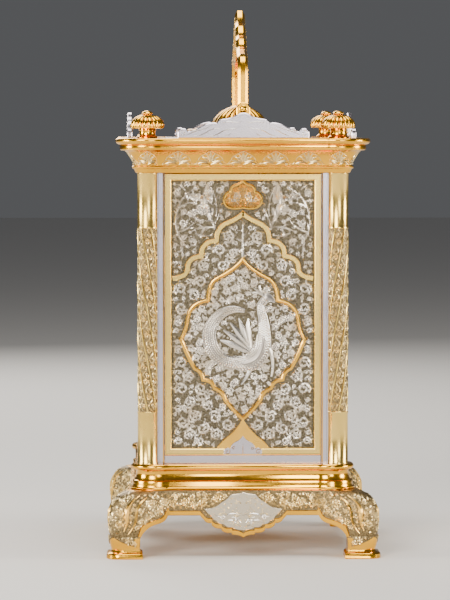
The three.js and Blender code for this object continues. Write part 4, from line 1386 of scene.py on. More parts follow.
    def add_borders(self, form: Form, ground: Placing) -> None:
        """Gilt bands: the arch, the bud on it, the medallion's line and the spreading foot.

        Args:
            form: Form to add to.
            ground: Places flat work on the panel's face.
        """
        high = self.field_rise
        arch_section = [(0.0, 0.1), (0.0, high + 0.75), (-0.25, high + 1.0), (-1.55, high + 1.0),
                        (-1.85, high + 0.6), (-1.85, 0.1)]
        form.band(self.arch(), arch_section, Finish.PALE_GILT, ground)
        line = [(-0.72, high - 0.1), (-0.66, high + 0.55), (-0.3, high + 0.9), (-0.1, high + 0.7),
                (0.3, high + 0.7), (0.6, high + 0.5), (0.66, high - 0.1)]
        form.band(self.medallion()[:-1], line, Finish.GILT_PLATE, ground, closed=True)
        bud = [(-0.5, -0.1), (-0.42, 0.9), (0, 1.15), (0.42, 0.9), (0.5, -0.1)]
        form.band(self.trefoil()[:-1], bud, Finish.GILT_PLATE, ground, closed=True)
        form.slab(self.trefoil()[:-1][::-1], -0.1, 0.12, Finish.GILT_GROUND, ground)
        foot = curve_through([(-10.4, self.rail_top), (-9.6, 39.6, -6.4, 42.0), (-2.4, 45.0, 0, 49.2)])
        form.slab(mirrored_path(foot)[::-1], 0.0, high + 1.0, Finish.GILT_PLATE, ground, bevel=0.2)

    def add_rail(self, form: Form, ground: Placing) -> None:
        """Silvered rail with its tongue, scrolls, middle line and dot.

        Args:
            form: Form to add to.
            ground: Places flat work on the panel's face.
        """
        tongue = self.tongue()
        rail = np.vstack([
            [(-self.half_width, self.bottom), (self.half_width, self.bottom),
             (self.half_width, self.rail_top)],
            tongue[::-1], [(-self.half_width, self.rail_top)],
        ])
        form.slab(rail, -0.5, self.rail_rise, Finish.SILVER, ground, bevel=0.12)
        raised = np.vstack([tongue, [(-tongue[0, 0], self.rail_top - 0.15),
                                     (tongue[0, 0], self.rail_top - 0.15)]])
        form.slab(raised[::-1], 0.5, self.rail_rise + self.tongue_rise, Finish.SILVER, ground, bevel=0.1)
        strokes = [tapered(np.array([(0, 36.2), (0, 39.4)]), (0.12, 0.12), 0.6),
                   tapered(np.array([(-0.12, 39.9), (0.12, 39.9)]), (0.2, 0.2), 0.2)]
        for side in (-1, 1):
            for u, v, radius, hand in ((5.6, 37.3, 1.1, 1), (3.4, 38.6, 0.7, -1)):
                strokes.append(spiral((side * u, v), radius, 0.6, side * hand))
        for stroke in strokes:
            stroke.widths = np.minimum(stroke.widths, 0.13)
        points, faces = self.chaser.raise_strokes(strokes, 3, leaf=0.0, flower=0.0)
        form.add(points, faces, Finish.GILT_GROUND,
                 on_side(1, self.face + self.rail_rise + self.tongue_rise))

    def add_arabesques(self, form: Form, ground: Placing, field: Placing) -> None:
        """Vines in the spandrels, round the medallion and behind the bird.

        Args:
            form: Form to add to.
            ground: Places flat work on the panel's face.
            field: Places flat work on the raised field.
        """
        arch, ring, bud = self.arch(), self.medallion(), self.trefoil()
        middle = len(arch) // 2
        relief = Finish.SILVER_RELIEF
        edge = self.field_half
        spandrel = np.vstack([arch[:middle + 1], [(-0.3, self.field_top), (-edge, self.field_top)]])
        vines = self.spandrel_vines()
        points, faces = self.chaser.raise_strokes(vines, 14, leaf=5.4, flower=5.2, spacing=1.9, height=1.2)
        for side in (1, -1):
            form.add(points * np.array([side, 1, 1]), [face[::side] for face in faces], relief, ground)
        keep_off = [(stroke.path, float(stroke.widths.mean()) + 0.5) for stroke in vines]
        self.chaser.carpet(form, spandrel, [(bud, 0.8), (arch, 0.1)] + keep_off, 1.8, 0.55, 11, relief,
                           ground,
                           height=1.25)
        inner = bud[:len(bud) // 2 + 1]
        self.chaser.carpet(form, inner, [], 1.6, 0.4, 5, Finish.GILT_RELIEF, ground)
        foot = np.array([(-10.4, 36.4), (-6.4, 42.3), (-2.4, 45.3), (0, 49.3)])
        around = [(arch, 1.95), (ring, 0.55)]
        keep_out = ring[:len(ring) // 2 + 1]
        fields = np.vstack([keep_out, [(-0.15, 123)], arch[middle - 1::-1], [(-edge, self.field_bottom)],
                            [(-9.4, self.field_bottom)], foot[1:]])
        stem = tapered(np.array([(0, 107.6), (0, 113), (0, 120.6)]), (0.5, 0.36, 0.2), 0.8)
        points, faces = self.chaser.raise_strokes([stem], 2, leaf=7.0, flower=0.0, spacing=1.7, height=1.1)
        form.add(points, faces, relief, field)
        around += [(foot, 0.5), (stem.path, 1.3)]
        self.chaser.carpet(form, fields, around, 2.7, 0.36, 23, relief, field, height=1.15)
        bird = self.bird()
        body, feathers = bird[:4], bird[4:]
        points, faces = self.chaser.raise_strokes(body, 4, leaf=0.0, flower=0.0, height=0.36)
        form.add(points, faces, Finish.SILVER_MATT, field)
        rims = [Stroke(s.path + mitre_normals(s.path, False) * side * s.widths[:, None],
                       np.full(len(s.path), 0.24))
                for s in body for side in (-1, 1)]
        points, faces = self.chaser.raise_strokes(feathers + rims, 4, leaf=0.0, flower=0.0, height=0.7)
        form.add(points, faces, relief, field)
        points, faces = self.chaser.raise_strokes(self.scales(body[:3]), 6, leaf=0.0, flower=0.0,
                                                  height=0.9)
        points[:, 2] += 0.62
        form.add(points, faces, relief, field)
        keep_off = [(ring, 0.55)] + [(stroke.path, float(stroke.widths.mean()) + 0.1) for stroke in bird]
        self.chaser.carpet(form, ring[:-1], keep_off, 1.7, 0.34, 37, relief, field, mirrored=False,
                           height=1.1)

    def spandrel_vines(self) -> list[Stroke]:
        """Bold vines of the left spandrel: a scroll down the outer edge and almond leaves beside the bud.

        Returns:
            The strokes of the vines.
        """
        rows = (
            (((-19.6, 110.6), (-25.4, 116.0, -24.2, 122.0), (-23.2, 129.6, -16.8, 132.6)),
             (0.3, 0.42, 0.4, 0.25)),
            (((-23.6, 116.6), (-19.0, 117.4, -16.6, 121.4)), (0.3, 0.36, 0.2)),
            (((-24.0, 124.6), (-21.6, 127.4, -17.4, 127.2)), (0.25, 0.34, 0.2)),
            (((-20.2, 131.0), (-22.6, 134.2, -24.6, 134.0)), (0.2, 0.34, 0.16)),
            (((-10.2, 117.4), (-9.4, 122.0, -7.8, 124.4)), (0.3, 0.34, 0.2)),
            (((-10.0, 118.0), (-14.4, 119.4, -19.0, 116.6)), (0.25, 0.5, 0.15)),
            (((-9.6, 122.4), (-8.8, 128.6, -11.4, 132.2)), (0.2, 0.3, 0.14)),
            (((-22.4, 113.2), (-21.0, 108.4, -22.6, 104.0)), (0.3, 0.4, 0.2)),
        )
        strokes = [tapered(curve_through(row), widths, 0.9) for row, widths in rows]
        almond = curve_through([(-10.4, 118.6), (-12.8, 124.0, -14.2, 127.2), (-14.6, 129.6, -12.4, 131.6)])
        strokes.append(tapered(almond, (0.2, 0.75, 1.45, 1.2, 0.15), 0.9))
        leaf = curve_through([(-17.2, 116.4), (-14.0, 114.0, -11.2, 115.6)])
        strokes.append(tapered(leaf, (0.15, 0.8, 0.15), 0.8))
        return strokes


@dataclass
class SideFrame:
    """Gilt frame moulding round a side panel."""

    back: float = 38.4
    half_width: float = 28.2
    bottom: float = 36.1
    top: float = 137.7

    def build(self) -> Form:
        """Builds the frame of the right side.

        Returns:
            The form, in place.
        """
        form = Form()
        half = self.half_width
        path = np.array([(-half, self.bottom), (half, self.bottom), (half, self.top), (-half, self.top)])
        section = [(0.0, 0.0), (0.0, 1.95), (0.15, 2.1), (0.4, 2.1), (0.5, 1.85), (2.0, 1.85), (2.3, 1.6),
                   (2.6, 1.0), (2.6, 0.0)]
        form.band(path, section, Finish.PALE_GILT, on_side(1, self.back), closed=True)
        return form


def build_side_walls(chaser: Chaser) -> None:
    """Both panels with their frames.

    Args:
        chaser: Makes the arabesques.
    """
    panel, frame_form = SidePanel(chaser).build(), SideFrame().build()
    for name, change in (("right", None), ("left", mirror_x)):
        for node, form, slot in (("side_panel", panel, "silvered"),
                                 ("side_frame", frame_form, "pale_gilt")):
            copy = Form()
            copy.take(form, change)
            copy.piece(f"{node}_{name}_chased" if node == "side_panel" else f"{node}_{name}_moulded",
                       "case",
                       slot, f"{node}_{name}")


# ------------------------------------------------------------------ columns and corner posts


@dataclass
class Column:
    """Corner column with a spirally chased shaft between two plain ends."""

    chaser: Chaser
    axis_x: float = 39.6
    axis_y: float = 34.4
    radius: float = 3.75
    shaft_radius: float = 3.42
    ridge: float = 0.28
    foot: float = 33.0
    chased_low: float = 52.0
    chased_high: float = 118.0
    head: float = 138.0
    strips: int = 6
    pitch: float = 108.0

    def twist(self, z: np.ndarray) -> np.ndarray:
        """Angle by which the spiral has turned at a height."""
        return 2 * math.pi * (z - self.chased_low) / self.pitch

    def build(self) -> Form:
        """Builds the right rear column.

        Returns:
            The form, in place.
        """
        form = Form()
        low, high, r = self.chased_low, self.chased_high, self.radius
        form.turned([(0, self.foot), (r, self.foot), (r, self.foot + 0.5), (r - 0.12, self.foot + 0.7),
                     (r - 0.12, low - 0.9), (r, low - 0.7), (r, low - 0.2), (r - 0.2, low), (0, low)],
                    (self.axis_x, self.axis_y), Finish.PALE_GILT, 48)
        form.turned([(0, high), (r - 0.2, high), (r, high + 0.2), (r, high + 0.7), (r - 0.12, high + 0.9),
                     (r - 0.12, self.head - 0.7), (r, self.head - 0.5), (r, self.head), (0, self.head)],
                    (self.axis_x, self.axis_y), Finish.PALE_GILT, 48)
        self.add_shaft(form)
        self.add_vines(form)
        return form

    def add_shaft(self, form: Form) -> None:
        """Matted shaft, and the smooth ridges that part the chased bands.

        Args:
            form: Form to add to.
        """
        heights = np.linspace(self.chased_low - 0.1, self.chased_high + 0.1, 46)
        angles = np.arange(36) * 2 * math.pi / 36
        turned = angles[None, :] + self.twist(heights)[:, None]
        rows = self.ring(turned, np.full_like(turned, self.shaft_radius), heights)
        form.grid(rows, Finish.SKIRT_GROUND, round_v=True, caps=True)
        half = 0.1
        profile = [(-half, -0.1), (-0.7 * half, 0.8 * self.ridge), (0, self.ridge),
                   (0.7 * half, 0.8 * self.ridge),
                   (half, -0.1)]
        for strip in range(self.strips):
            around = np.array([2 * math.pi * strip / self.strips + a for a, _ in profile])
            reach = np.array([self.shaft_radius + h for _, h in profile])
            turned = around[None, :] + self.twist(heights)[:, None]
            rows = self.ring(turned, np.broadcast_to(reach, turned.shape), heights)
            form.grid(rows, Finish.PALE_GILT, round_v=True, caps=True)

    def ring(self, angles: np.ndarray, reach: np.ndarray, heights: np.ndarray) -> np.ndarray:
        """Points round the column, row by row."""
        z = np.broadcast_to(heights[:, None], angles.shape)
        return np.stack([self.axis_x + reach * np.cos(angles), self.axis_y + reach * np.sin(angles), z],
                        axis=-1)

    def add_vines(self, form: Form) -> None:
        """Waving vine with curled shoots in each band.

        Args:
            form: Form to add to.
        """
        length, wave = self.chased_high - self.chased_low - 1.0, 5.6
        t = np.arange(0, length, wave / 10)
        stem = np.stack([0.95 * np.sin(2 * math.pi * t / wave), t + 0.5], axis=1)
        strokes = [Stroke(stem, np.full(len(stem), 0.2))]
        bays = int(length / (wave / 2))
        for bay in range(bays):
            side = 1 if bay % 2 else -1
            shoot = spiral((side * 0.62, (bay + 0.78) * wave / 2), 0.92, 1.2 * side, side)
            shoot.widths = shoot.widths * 0.9
            strokes.append(shoot)
        points, faces = self.chaser.raise_strokes(strokes, 9, leaf=3.6, flower=1.9, spacing=1.0, height=1.0)
        for strip in range(self.strips):
            centre = 2 * math.pi * (strip + 0.5) / self.strips
            angles = centre + points[:, 0] / self.shaft_radius + self.twist(self.chased_low + points[:, 1])
            reach = self.shaft_radius + np.minimum(points[:, 2], self.radius - self.shaft_radius)
            placed = np.stack([self.axis_x + reach * np.cos(angles), self.axis_y + reach * np.sin(angles),
                               self.chased_low + points[:, 1]], axis=1)
            form.add(placed, faces, Finish.SKIRT_RELIEF)


@dataclass
class CornerPost:
    """Silvered angle behind a column, with fine gilt lines along its edges."""

    face_x: float = 40.2
    face_y: float = 35.0
    inner_x: float = 33.6
    inner_y: float = 28.4
    leaf: float = 2.0
    bottom: float = 33.0
    top: float = 138.0
    line: float = 0.22

    def build(self) -> Form:
        """Builds the right rear post.

        Returns:
            The form, in place.
        """
        form = Form()
        upright: Placing = lambda p: p
        outline = np.array([
            (self.inner_x, self.inner_y), (self.face_x, self.inner_y),
                            (self.face_x, self.inner_y + self.leaf),
            (self.inner_x + self.leaf, self.inner_y + self.leaf), (self.inner_x + self.leaf, self.face_y),
            (self.inner_x, self.face_y),
        ])
        form.slab(outline, self.bottom, self.top, Finish.SILVER, upright)
        cheek = np.array([(self.face_x - 2, self.inner_y + self.leaf - 0.1),
                          (self.face_x, self.inner_y + self.leaf - 0.1),
                          (self.face_x, self.inner_y + 2.9), (self.face_x - 2, self.inner_y + 2.9)])
        form.slab(cheek, self.bottom, self.top, Finish.SILVER, upright)
        cheek = np.array([(self.inner_x + self.leaf - 0.1, self.face_y - 2),
                          (self.inner_x + 2.9, self.face_y - 2),
                          (self.inner_x + 2.9, self.face_y), (self.inner_x + self.leaf - 0.1, self.face_y)])
        form.slab(cheek, self.bottom, self.top, Finish.SILVER, upright)
        for x, y in ((self.face_x, self.inner_y + 0.3), (self.face_x, self.inner_y + 2.6),
                     (self.inner_x + 0.3, self.face_y), (self.inner_x + 2.6, self.face_y)):
            form.turned([(0, self.bottom + 0.05), (self.line, self.bottom + 0.05),
                         (self.line, self.top - 0.05),
                         (0, self.top - 0.05)], (x, y), Finish.GILT, 8)
        return form


def build_corners(chaser: Chaser) -> None:
    """Columns and posts of the four corners; the spirals of neighbouring columns mirror each other.

    Args:
        chaser: Makes the vines.
    """
    column, post = Column(chaser).build(), CornerPost().build()
    for name, side_x, side_y in CORNERS:
        for node, form, slot, suffix in (("column", column, "pale_gilt", "chased"),
                                         ("corner_post", post, "silvered", "lined")):
            copy = Form()
            copy.take(form, into_corner(side_x, side_y))
            copy.piece(f"{node}_{name}_{suffix}", "case", slot, f"{node}_{name}")


# ------------------------------------------------------------------ skirt, legs and shoes


def smooth_step(x: np.ndarray) -> np.ndarray:
    """Eased rise from 0 to 1."""
    t = np.clip(x, 0, 1)
    return t * t * (3 - 2 * t)


@dataclass
class Skirt:
    """Chased skirt that swells into four bracket legs, with a gilt border along its lower edge."""

    chaser: Chaser
    wider: float = 5.2
    face: float = 40.5
    top: float = 23.8
    edge: float = 14.8
    ankle: float = 7.5
    leg_inner: float = 37.1
    swell_start: float = 25.0
    swell_end: float = 41.0
    corner: float = 5.0
    wall: float = 2.8
    border: float = 1.75
    border_rise: float = 0.35
    ankle_border: float = 0.45

    def __post_init__(self) -> None:
        """Works out the lower edge and the knee's outline."""
        pendant = curve_through([
            (0, 6.7), (1.5, 7.9, 4.0, 7.8), (4.15, 8.5), (6.6, 8.2, 7.7, 9.3), (7.85, 10.0),
                                 (10.2, 9.8, 11.3, 11.2),
            (11.45, 12.0), (13.6, 11.8, 14.4, 13.5), (14.9, 13.8, 15.6, self.edge),
        ], 4)
        leg = curve_through([
            (27.2, self.edge), (28.0, 12.4, 30.8, 12.0), (34.2, 11.4, 36.0, 9.3),
                             (36.7, 8.5, self.leg_inner, self.ankle),
        ], 5)
        self.pendant, self.leg = pendant, leg
        self.knee = curve_through([
            (48.0, self.ankle), (49.0, 14.2, 47.2, 19.7), (46.0, 22.9, 42.5, self.top),
        ], 10)

    def low(self, u: np.ndarray, stretch: float) -> np.ndarray:
        """Height of the lower edge at a distance from the middle of a side."""
        path = np.vstack([self.pendant, self.leg + np.array([stretch, 0])])
        return np.interp(u, path[:, 0], path[:, 1])

    def reach(self, z: np.ndarray) -> np.ndarray:
        """How far the knee stands out, measured on the narrow side."""
        return np.interp(z, self.knee[:, 1], self.knee[:, 0])

    def surface(self, u: np.ndarray, z: np.ndarray, stretch: float, inset: float = 0.0) -> np.ndarray:
        """Points of one half side and its half of the rounded corner.

        Args:
            u: Distance from the middle of the side, along it.
            z: Height.
            stretch: How much longer this half side is than the narrow one.
            inset: Distance inside the outer face.

        Returns:
            Points as (along, outward, height).
        """
        knee = self.reach(z)
        swell = smooth_step((u - stretch - self.swell_start) / (self.swell_end - self.swell_start))
        corner = max(self.corner - inset, 1.0)
        turn = knee - self.corner + stretch
        angle = np.clip((u - turn) / self.corner, 0, math.pi / 4)
        flat_out = self.face + (knee - self.face) * swell - inset
        along = np.where(u <= turn, u, turn + corner * np.sin(angle))
        out = np.where(u <= turn, flat_out, knee - self.corner + corner * np.cos(angle))
        return np.stack([along, out, z], axis=-1)

    def normals(self, u: np.ndarray, z: np.ndarray, stretch: float) -> np.ndarray:
        """Outward normals of the surface.

        Args:
            u: Distances from the middle of the side.
            z: Heights.
            stretch: How much longer this side is than the narrow one.

        Returns:
            One unit normal per point.
        """
        step = 0.05
        across = self.surface(u + step, z, stretch) - self.surface(u - step, z, stretch)
        upward = self.surface(u, z + step, stretch) - self.surface(u, z - step, stretch)
        normal = np.cross(upward, across)
        normal *= np.sign(normal[..., 1:2] + 1e-12)
        return normal / np.maximum(np.linalg.norm(normal, axis=-1, keepdims=True), 1e-9)

    def place(self, wide: bool) -> Placing:
        """Places flat work, as (u, z, height), on the half side in the right rear quarter.

        Args:
            wide: Whether the half side is on a wide side.

        Returns:
            Function that puts flat points on the surface.
        """
        stretch = self.wider if wide else 0.0

        def put(points: np.ndarray) -> np.ndarray:
            """Puts flat points in their place on the clock.

            Args:
                points: Flat points, with their height as the third value.

            Returns:
                The points in the clock's frame.
            """
            sign = np.where(points[:, 0] < 0, -1.0, 1.0)
            u, z = np.abs(points[:, 0]), points[:, 1]
            at = self.surface(u, z, stretch) + self.normals(u, z, stretch) * points[:, 2:3]
            along = at[:, 0] * sign
            if wide:
                return np.stack([along, at[:, 1], z], axis=1)
            return np.stack([at[:, 1] + self.wider, along, z], axis=1)

        return put

    def build(self) -> Form:
        """Builds the whole skirt.

        Returns:
            The form, in place.
        """
        quarter = Form()
        for wide in (False, True):
            self.add_shell(quarter, wide)
            self.add_carpet(quarter, wide)
        form = Form()
        for _, side_x, side_y in CORNERS:
            form.take(quarter, into_corner(side_x, side_y))
        for wide in (False, True):
            badge = Form()
            self.add_cartouche(badge, wide)
            form.take(badge)
            form.take(badge, mirror_y if wide else mirror_x)
        return form

    def columns(self, stretch: float) -> np.ndarray:
        """Places along a half side where the net has its upright lines.

        Args:
            stretch: How much longer this side is than the narrow one.

        Returns:
            Distances from the middle of the side.
        """
        straight = np.arange(17.0, 26.8 + stretch, 2.4)
        leg = self.leg[:, 0] + stretch
        knee = np.arange(leg[-1] + 0.9, 43.0 + stretch, 0.9)
        return np.concatenate([self.pendant[:, 0], straight, leg, knee])

    def add_shell(self, form: Form, wide: bool) -> None:
        """Outer face, border, inner face and edges of one half side.

        Args:
            form: Form to add to.
            wide: Whether the half side is on a wide side.
        """
        stretch = self.wider if wide else 0.0
        fixed = self.columns(stretch)
        share = np.linspace(0, 1, 8)
        low = np.concatenate([self.low(fixed, stretch), np.full(8, self.ankle)])
        slope = np.abs(np.gradient(low, np.concatenate([fixed, fixed[-1] + 1 + share])))
        along = np.concatenate([fixed, fixed[-1] + 1 + share])
        width = self.border * np.where(along > self.pendant[-1, 0] + 1,
                                       np.minimum(np.sqrt(1 + slope ** 2), 1.8), 1.0)
        width = np.where(along > self.leg_inner + stretch + 0.1, self.ankle_border, width)
        levels = [low, low + 0.2, low + width - 0.2, low + width]
        levels += [low + width + (self.top - low - width) * t for t in np.linspace(0, 1, 14)[1:]]
        rises = [0.0, self.border_rise, self.border_rise, 0.0] + [0.0] * 13
        outer = [self.row(fixed, share, z, stretch, 0.0, rise) for z, rise in zip(levels, rises)]
        inner = [self.row(fixed, share, low + (self.top - low) * t, stretch, self.wall, 0.0)
                 for t in (1.0, 0.75, 0.5, 0.25, 0.0)]
        turn = self.turned_wide if wide else self.turned_narrow
        form.grid(turn(np.array(outer[:4])), Finish.GILT)
        form.grid(turn(np.array(outer[3:])), Finish.SKIRT_GROUND)
        form.grid(turn(np.array([outer[-1], *inner, outer[0]])), Finish.GILT_PLATE)

    def row(self, fixed: np.ndarray, share: np.ndarray, z: np.ndarray, stretch: float, inset: float,
            rise: float) -> np.ndarray:
        """One level line of the net: fixed places, then the rounded corner up to its diagonal.

        Args:
            fixed: Distances from the middle, up to the corner.
            share: Shares of the way round the corner to its diagonal.
            z: Height of every point of the line.
            stretch: How much longer this side is than the narrow one.
            inset: Depth under the outer face.
            rise: Height over the surface, along its normal.

        Returns:
            Points of the line.
        """
        count = len(fixed)
        turn = self.reach(z[count:]) - self.corner + stretch
        start = np.maximum(turn, fixed[-1] + 0.3)
        end = turn + self.corner * math.pi / 4
        u = np.concatenate([np.minimum(fixed, self.reach(z[:count]) + stretch),
                            start + (end - start) * share])
        points = self.surface(u, z, stretch, inset)
        if rise:
            points = points + self.normals(u, z, stretch) * rise
        points[-1, 0] = points[-1, 1] + stretch
        return points

    def turned_narrow(self, rows: np.ndarray) -> np.ndarray:
        """Turns (along, outward, height) into place on the right side."""
        return np.stack([rows[..., 1] + self.wider, rows[..., 0], rows[..., 2]], axis=-1)

    def turned_wide(self, rows: np.ndarray) -> np.ndarray:
        """Turns (along, outward, height) into place on the rear."""
        return rows

    def add_carpet(self, form: Form, wide: bool) -> None:
        """Arabesque of one half side, round a long leaf on the knee.

        Args:
            form: Form to add to.
            wide: Whether the half side is on a wide side.
        """
        stretch = self.wider if wide else 0.0
        u = np.arange(0.2, self.leg_inner + stretch, 0.6)
        lower = np.stack([u, self.low(u, stretch) + self.border + 0.5], axis=1)
        z = np.linspace(self.ankle + 0.8, self.top - 0.5, 12)
        side = np.stack([self.reach(z) - self.corner * (1 - math.pi / 4) + stretch - 0.25, z], axis=1)
        outline = np.vstack([lower, side, [(0.2, self.top - 0.5)]])
        leaf = curve_through([(34.6, 21.8), (38.6, 19.4, 38.6, 15.4),
                              (38.6, 12.2, 41.4, 9.0)]) + np.array([stretch, 0])
        twin = curve_through([(37.4, 22.5), (42.4, 19.6, 42.0, 15.6),
                              (41.6, 12.6, 43.0, 10.0)]) + np.array([stretch, 0])
        leaves = [tapered(leaf, (0.15, 0.5, 0.55, 0.4, 0.15), 0.9),
                  tapered(twin, (0.12, 0.4, 0.9, 0.6, 0.12), 0.9)]
        place = self.place(wide)
        points, faces = self.chaser.raise_strokes(leaves, 2, leaf=0.0, flower=0.0)
        form.add(points, faces, Finish.GILT_RELIEF, place)
        keep_off = [(leaf, 0.5), (twin, 0.7), (self.cartouche(), 0.3)]
        self.chaser.carpet(form, outline, keep_off, 1.9, 0.34, 51 + wide, Finish.SKIRT_RELIEF, place,
                           mirrored=False, height=0.9)

    def cartouche(self) -> np.ndarray:
        """Outline of the smooth field over the pendant."""
        half = curve_through([
            (0, 9.3), (3.2, 9.6, 4.0, 10.4), (6.0, 10.2, 7.0, 11.5), (8.8, 11.4, 9.8, 12.8),
                              (11.0, 13.0, 11.8, 14.8),
            (13.0, 15.4, 14.0, 17.1), (10.0, 17.4, 8.0, 19.6), (6.0, 20.4, 4.6, 22.4), (2.0, 22.4, 0, 23.2),
        ])
        return mirrored_path(half[::-1])[:-1]

    def add_cartouche(self, form: Form, wide: bool) -> None:
        """Smooth silvered field over the pendant, with scrolls in its lower part.

        Args:
            form: Form to add to.
            wide: Whether the half side is on a wide side.
        """
        face = self.face + 0.02
        place = on_front(1, face) if wide else on_side(1, face + self.wider)
        form.slab(self.cartouche()[::-1], -0.3, 0.22, Finish.SKIRT_PLAIN, place, bevel=0.15)
        strokes = []
        for side in (-1, 1):
            for rows, widths in (
                (((0, 14.6), (3.2, 16.2, 6.4, 14.8), (8.8, 13.6, 10.4, 15.2)), (0.1, 0.3, 0.1)),
                (((0.4, 10.6), (2.6, 11.0, 3.4, 12.8), (5.2, 13.4, 6.8, 12.6)), (0.12, 0.32, 0.1)),
                (((1.0, 12.2), (2.0, 14.2, 4.2, 14.2)), (0.1, 0.3, 0.08)),
            ):
                path = curve_through(rows) * np.array([side, 1])
                strokes.append(tapered(path, widths, 0.5))
            strokes.append(spiral((side * 7.6, 14.0), 1.0, 1.0, side))
            strokes.append(spiral((side * 2.2, 13.2), 0.95, 0.2, -side))
        points, faces = self.chaser.raise_strokes(strokes, 8, leaf=2.4, flower=0.0, spacing=1.6, height=0.9)
        points[:, 2] += 0.2
        form.add(points, faces, Finish.SILVER_RELIEF, place)


@dataclass
class FootShoe:
    """Polished gilt shoe of one leg, with a slab foot and a pointed cap over the ankle."""

    wider: float = 5.2
    corner: float = 4.6
    sock_low: float = 4.2
    levels: tuple[tuple[float, float, float], ...] = (
        (0.0, 36.3, 49.1), (0.3, 36.2, 49.3), (1.5, 36.3, 49.2), (2.0, 36.6, 48.8), (2.3, 37.1, 47.8),
        (3.0, 37.3, 47.5), (4.6, 37.4, 47.9), (6.2, 37.3, 48.2), (7.5, 37.1, 48.15),
    )

    def build(self) -> Form:
        """Builds the right rear shoe.

        Returns:
            The form, in place.
        """
        form = Form()
        loops = []
        for z, inner, outer in self.levels:
            centre = outer - self.corner
            loop = [(inner + self.wider, inner, z), (outer + self.wider, inner, z)]
            for angle in np.linspace(0, math.pi / 2, 9):
                loop.append((centre + self.wider + self.corner * math.cos(angle),
                             centre + self.corner * math.sin(angle), z))
            loop.append((inner + self.wider, outer, z))
            loops.append(loop)
        form.grid(np.array(loops), Finish.GILT, round_v=True, caps=True)
        return form

    def sock(self, skirt: Skirt) -> Form:
        """Chased work that runs down over the shoe and leaves a pointed gilt cap at its corner.

        Args:
            skirt: The skirt whose leg the work covers.

        Returns:
            The form, in place.
        """
        form = Form()
        high = skirt.ankle + 0.6
        for wide in (False, True):
            stretch = skirt.wider if wide else 0.0
            end = float(skirt.reach(np.array([skirt.ankle]))[0]) - skirt.corner * 0.22
            share = np.linspace(0, 1, 16)
            u = skirt.leg_inner + 0.25 + (end - skirt.leg_inner - 0.25) * share + stretch
            low = self.sock_low + (high - self.sock_low - 0.4) * share ** 1.6
            section = ((0.0, -0.2), (0.0, 0.3), (0.12, 0.42), (0.9, 0.42), (1.0, 0.2), (1.0, -0.2))
            rows = np.array([[(a, b + (high - b) * t, h) for t, h in section] for a, b in zip(u, low)])
            form.grid(rows, Finish.SKIRT_GROUND, skirt.place(wide), round_v=True, caps=True)
            outline = np.vstack([np.stack([u, low + 0.35], axis=1), [(u[-1], high), (u[0], high)]])
            skirt.chaser.carpet(form, outline, [], 1.0, 0.3, 61 + wide, Finish.SKIRT_RELIEF,
                                lambda p, put=skirt.place(wide): put(p + np.array([0, 0, 0.4])),
                                mirrored=False, height=0.8)
        return form


# ------------------------------------------------------------------ base and cornice mouldings


@dataclass
class Moulding:
    """Moulding round the case that breaks out in a round bulge at each column."""

    profile: tuple[Point2, ...]
    inset: float
    bulge: float = 1.4
    axis_x: float = 39.6
    axis_y: float = 34.4
    core_x: float = 33.0
    core_y: float = 28.0
    core_corner: float = 1.0
    arc_steps: int = 22

    def loop(self, z: float, centre: Point2, radius: float,
             start: float) -> list[tuple[float, float, float]]:
        """Level line with an arc about each of four centres.

        Args:
            z: Height of the line.
            centre: Centre of the first arc; the others mirror it.
            radius: Radius of the arcs.
            start: Angle at which each arc starts.

        Returns:
            Points of the line, in order.
        """
        angles = np.linspace(start, math.pi / 2 - start, self.arc_steps)
        quarter = np.stack([centre[0] + radius * np.cos(angles), centre[1] + radius * np.sin(angles)],
                           axis=1)
        back = quarter[::-1]
        loop = np.vstack([quarter, back * (-1, 1), quarter * (-1, -1), back * (1, -1)])
        return [(x, y, z) for x, y in loop]

    def outer(self, z: float, edge: float) -> list[tuple[float, float, float]]:
        """Level line of the outer face.

        Args:
            z: Height of the line.
            edge: How far the face stands out from the columns' axes.

        Returns:
            Points of the line, in order.
        """
        radius = edge + self.bulge + self.inset
        start = -math.acos(min(1.0, (edge + self.inset) / radius))
        return self.loop(z, (self.axis_x - self.inset, self.axis_y - self.inset), radius, start)

    def build(self, finish: "Finish") -> Form:
        """Builds the ring.

        Args:
            finish: Finish of the whole ring.

        Returns:
            The form, in place.
        """
        form = Form()
        centre = (self.core_x - self.core_corner, self.core_y - self.core_corner)
        loops = [self.outer(z, edge) for z, edge in self.profile]
        loops += [self.loop(z, centre, self.core_corner, 0.0) for z in (self.profile[-1][0],
                                                                        self.profile[0][0])]
        form.grid(np.array(loops), finish, round_u=True, round_v=True)
        return form

    def edge_at(self, z: np.ndarray) -> np.ndarray:
        """How far the straight sides stand out at a height."""
        return np.interp(z, [p[0] for p in self.profile], [p[1] for p in self.profile])


BASE_PROFILE = (
    (23.8, 4.8), (24.1, 4.95), (24.6, 4.95), (24.85, 4.75), (24.9, 4.3), (25.8, 4.05), (26.7, 4.1),
                (27.0, 3.95),
    (27.15, 3.4), (27.9, 2.95), (29.2, 2.65), (30.4, 2.65), (30.75, 2.9), (30.85, 3.6), (31.1, 4.1),
    (31.6, 4.45), (32.1, 4.5), (32.6, 4.35), (33.0, 3.9),
)
CORNICE_PROFILE = (
    (138.0, 2.5), (138.2, 2.9), (139.3, 3.4), (139.55, 3.55), (139.65, 3.9), (139.9, 4.1), (140.3, 4.15),
    (140.6, 3.95), (140.7, 3.65), (141.6, 3.75), (143.0, 4.15), (144.4, 4.95), (145.5, 5.95), (146.1, 6.85),
    (146.2, 8.1), (146.45, 8.45), (147.2, 8.6), (147.9, 8.55), (148.2, 8.35), (148.35, 9.2), (148.7, 9.75),
    (149.3, 10.1), (149.9, 10.1), (150.3, 9.9), (150.5, 9.5),
)


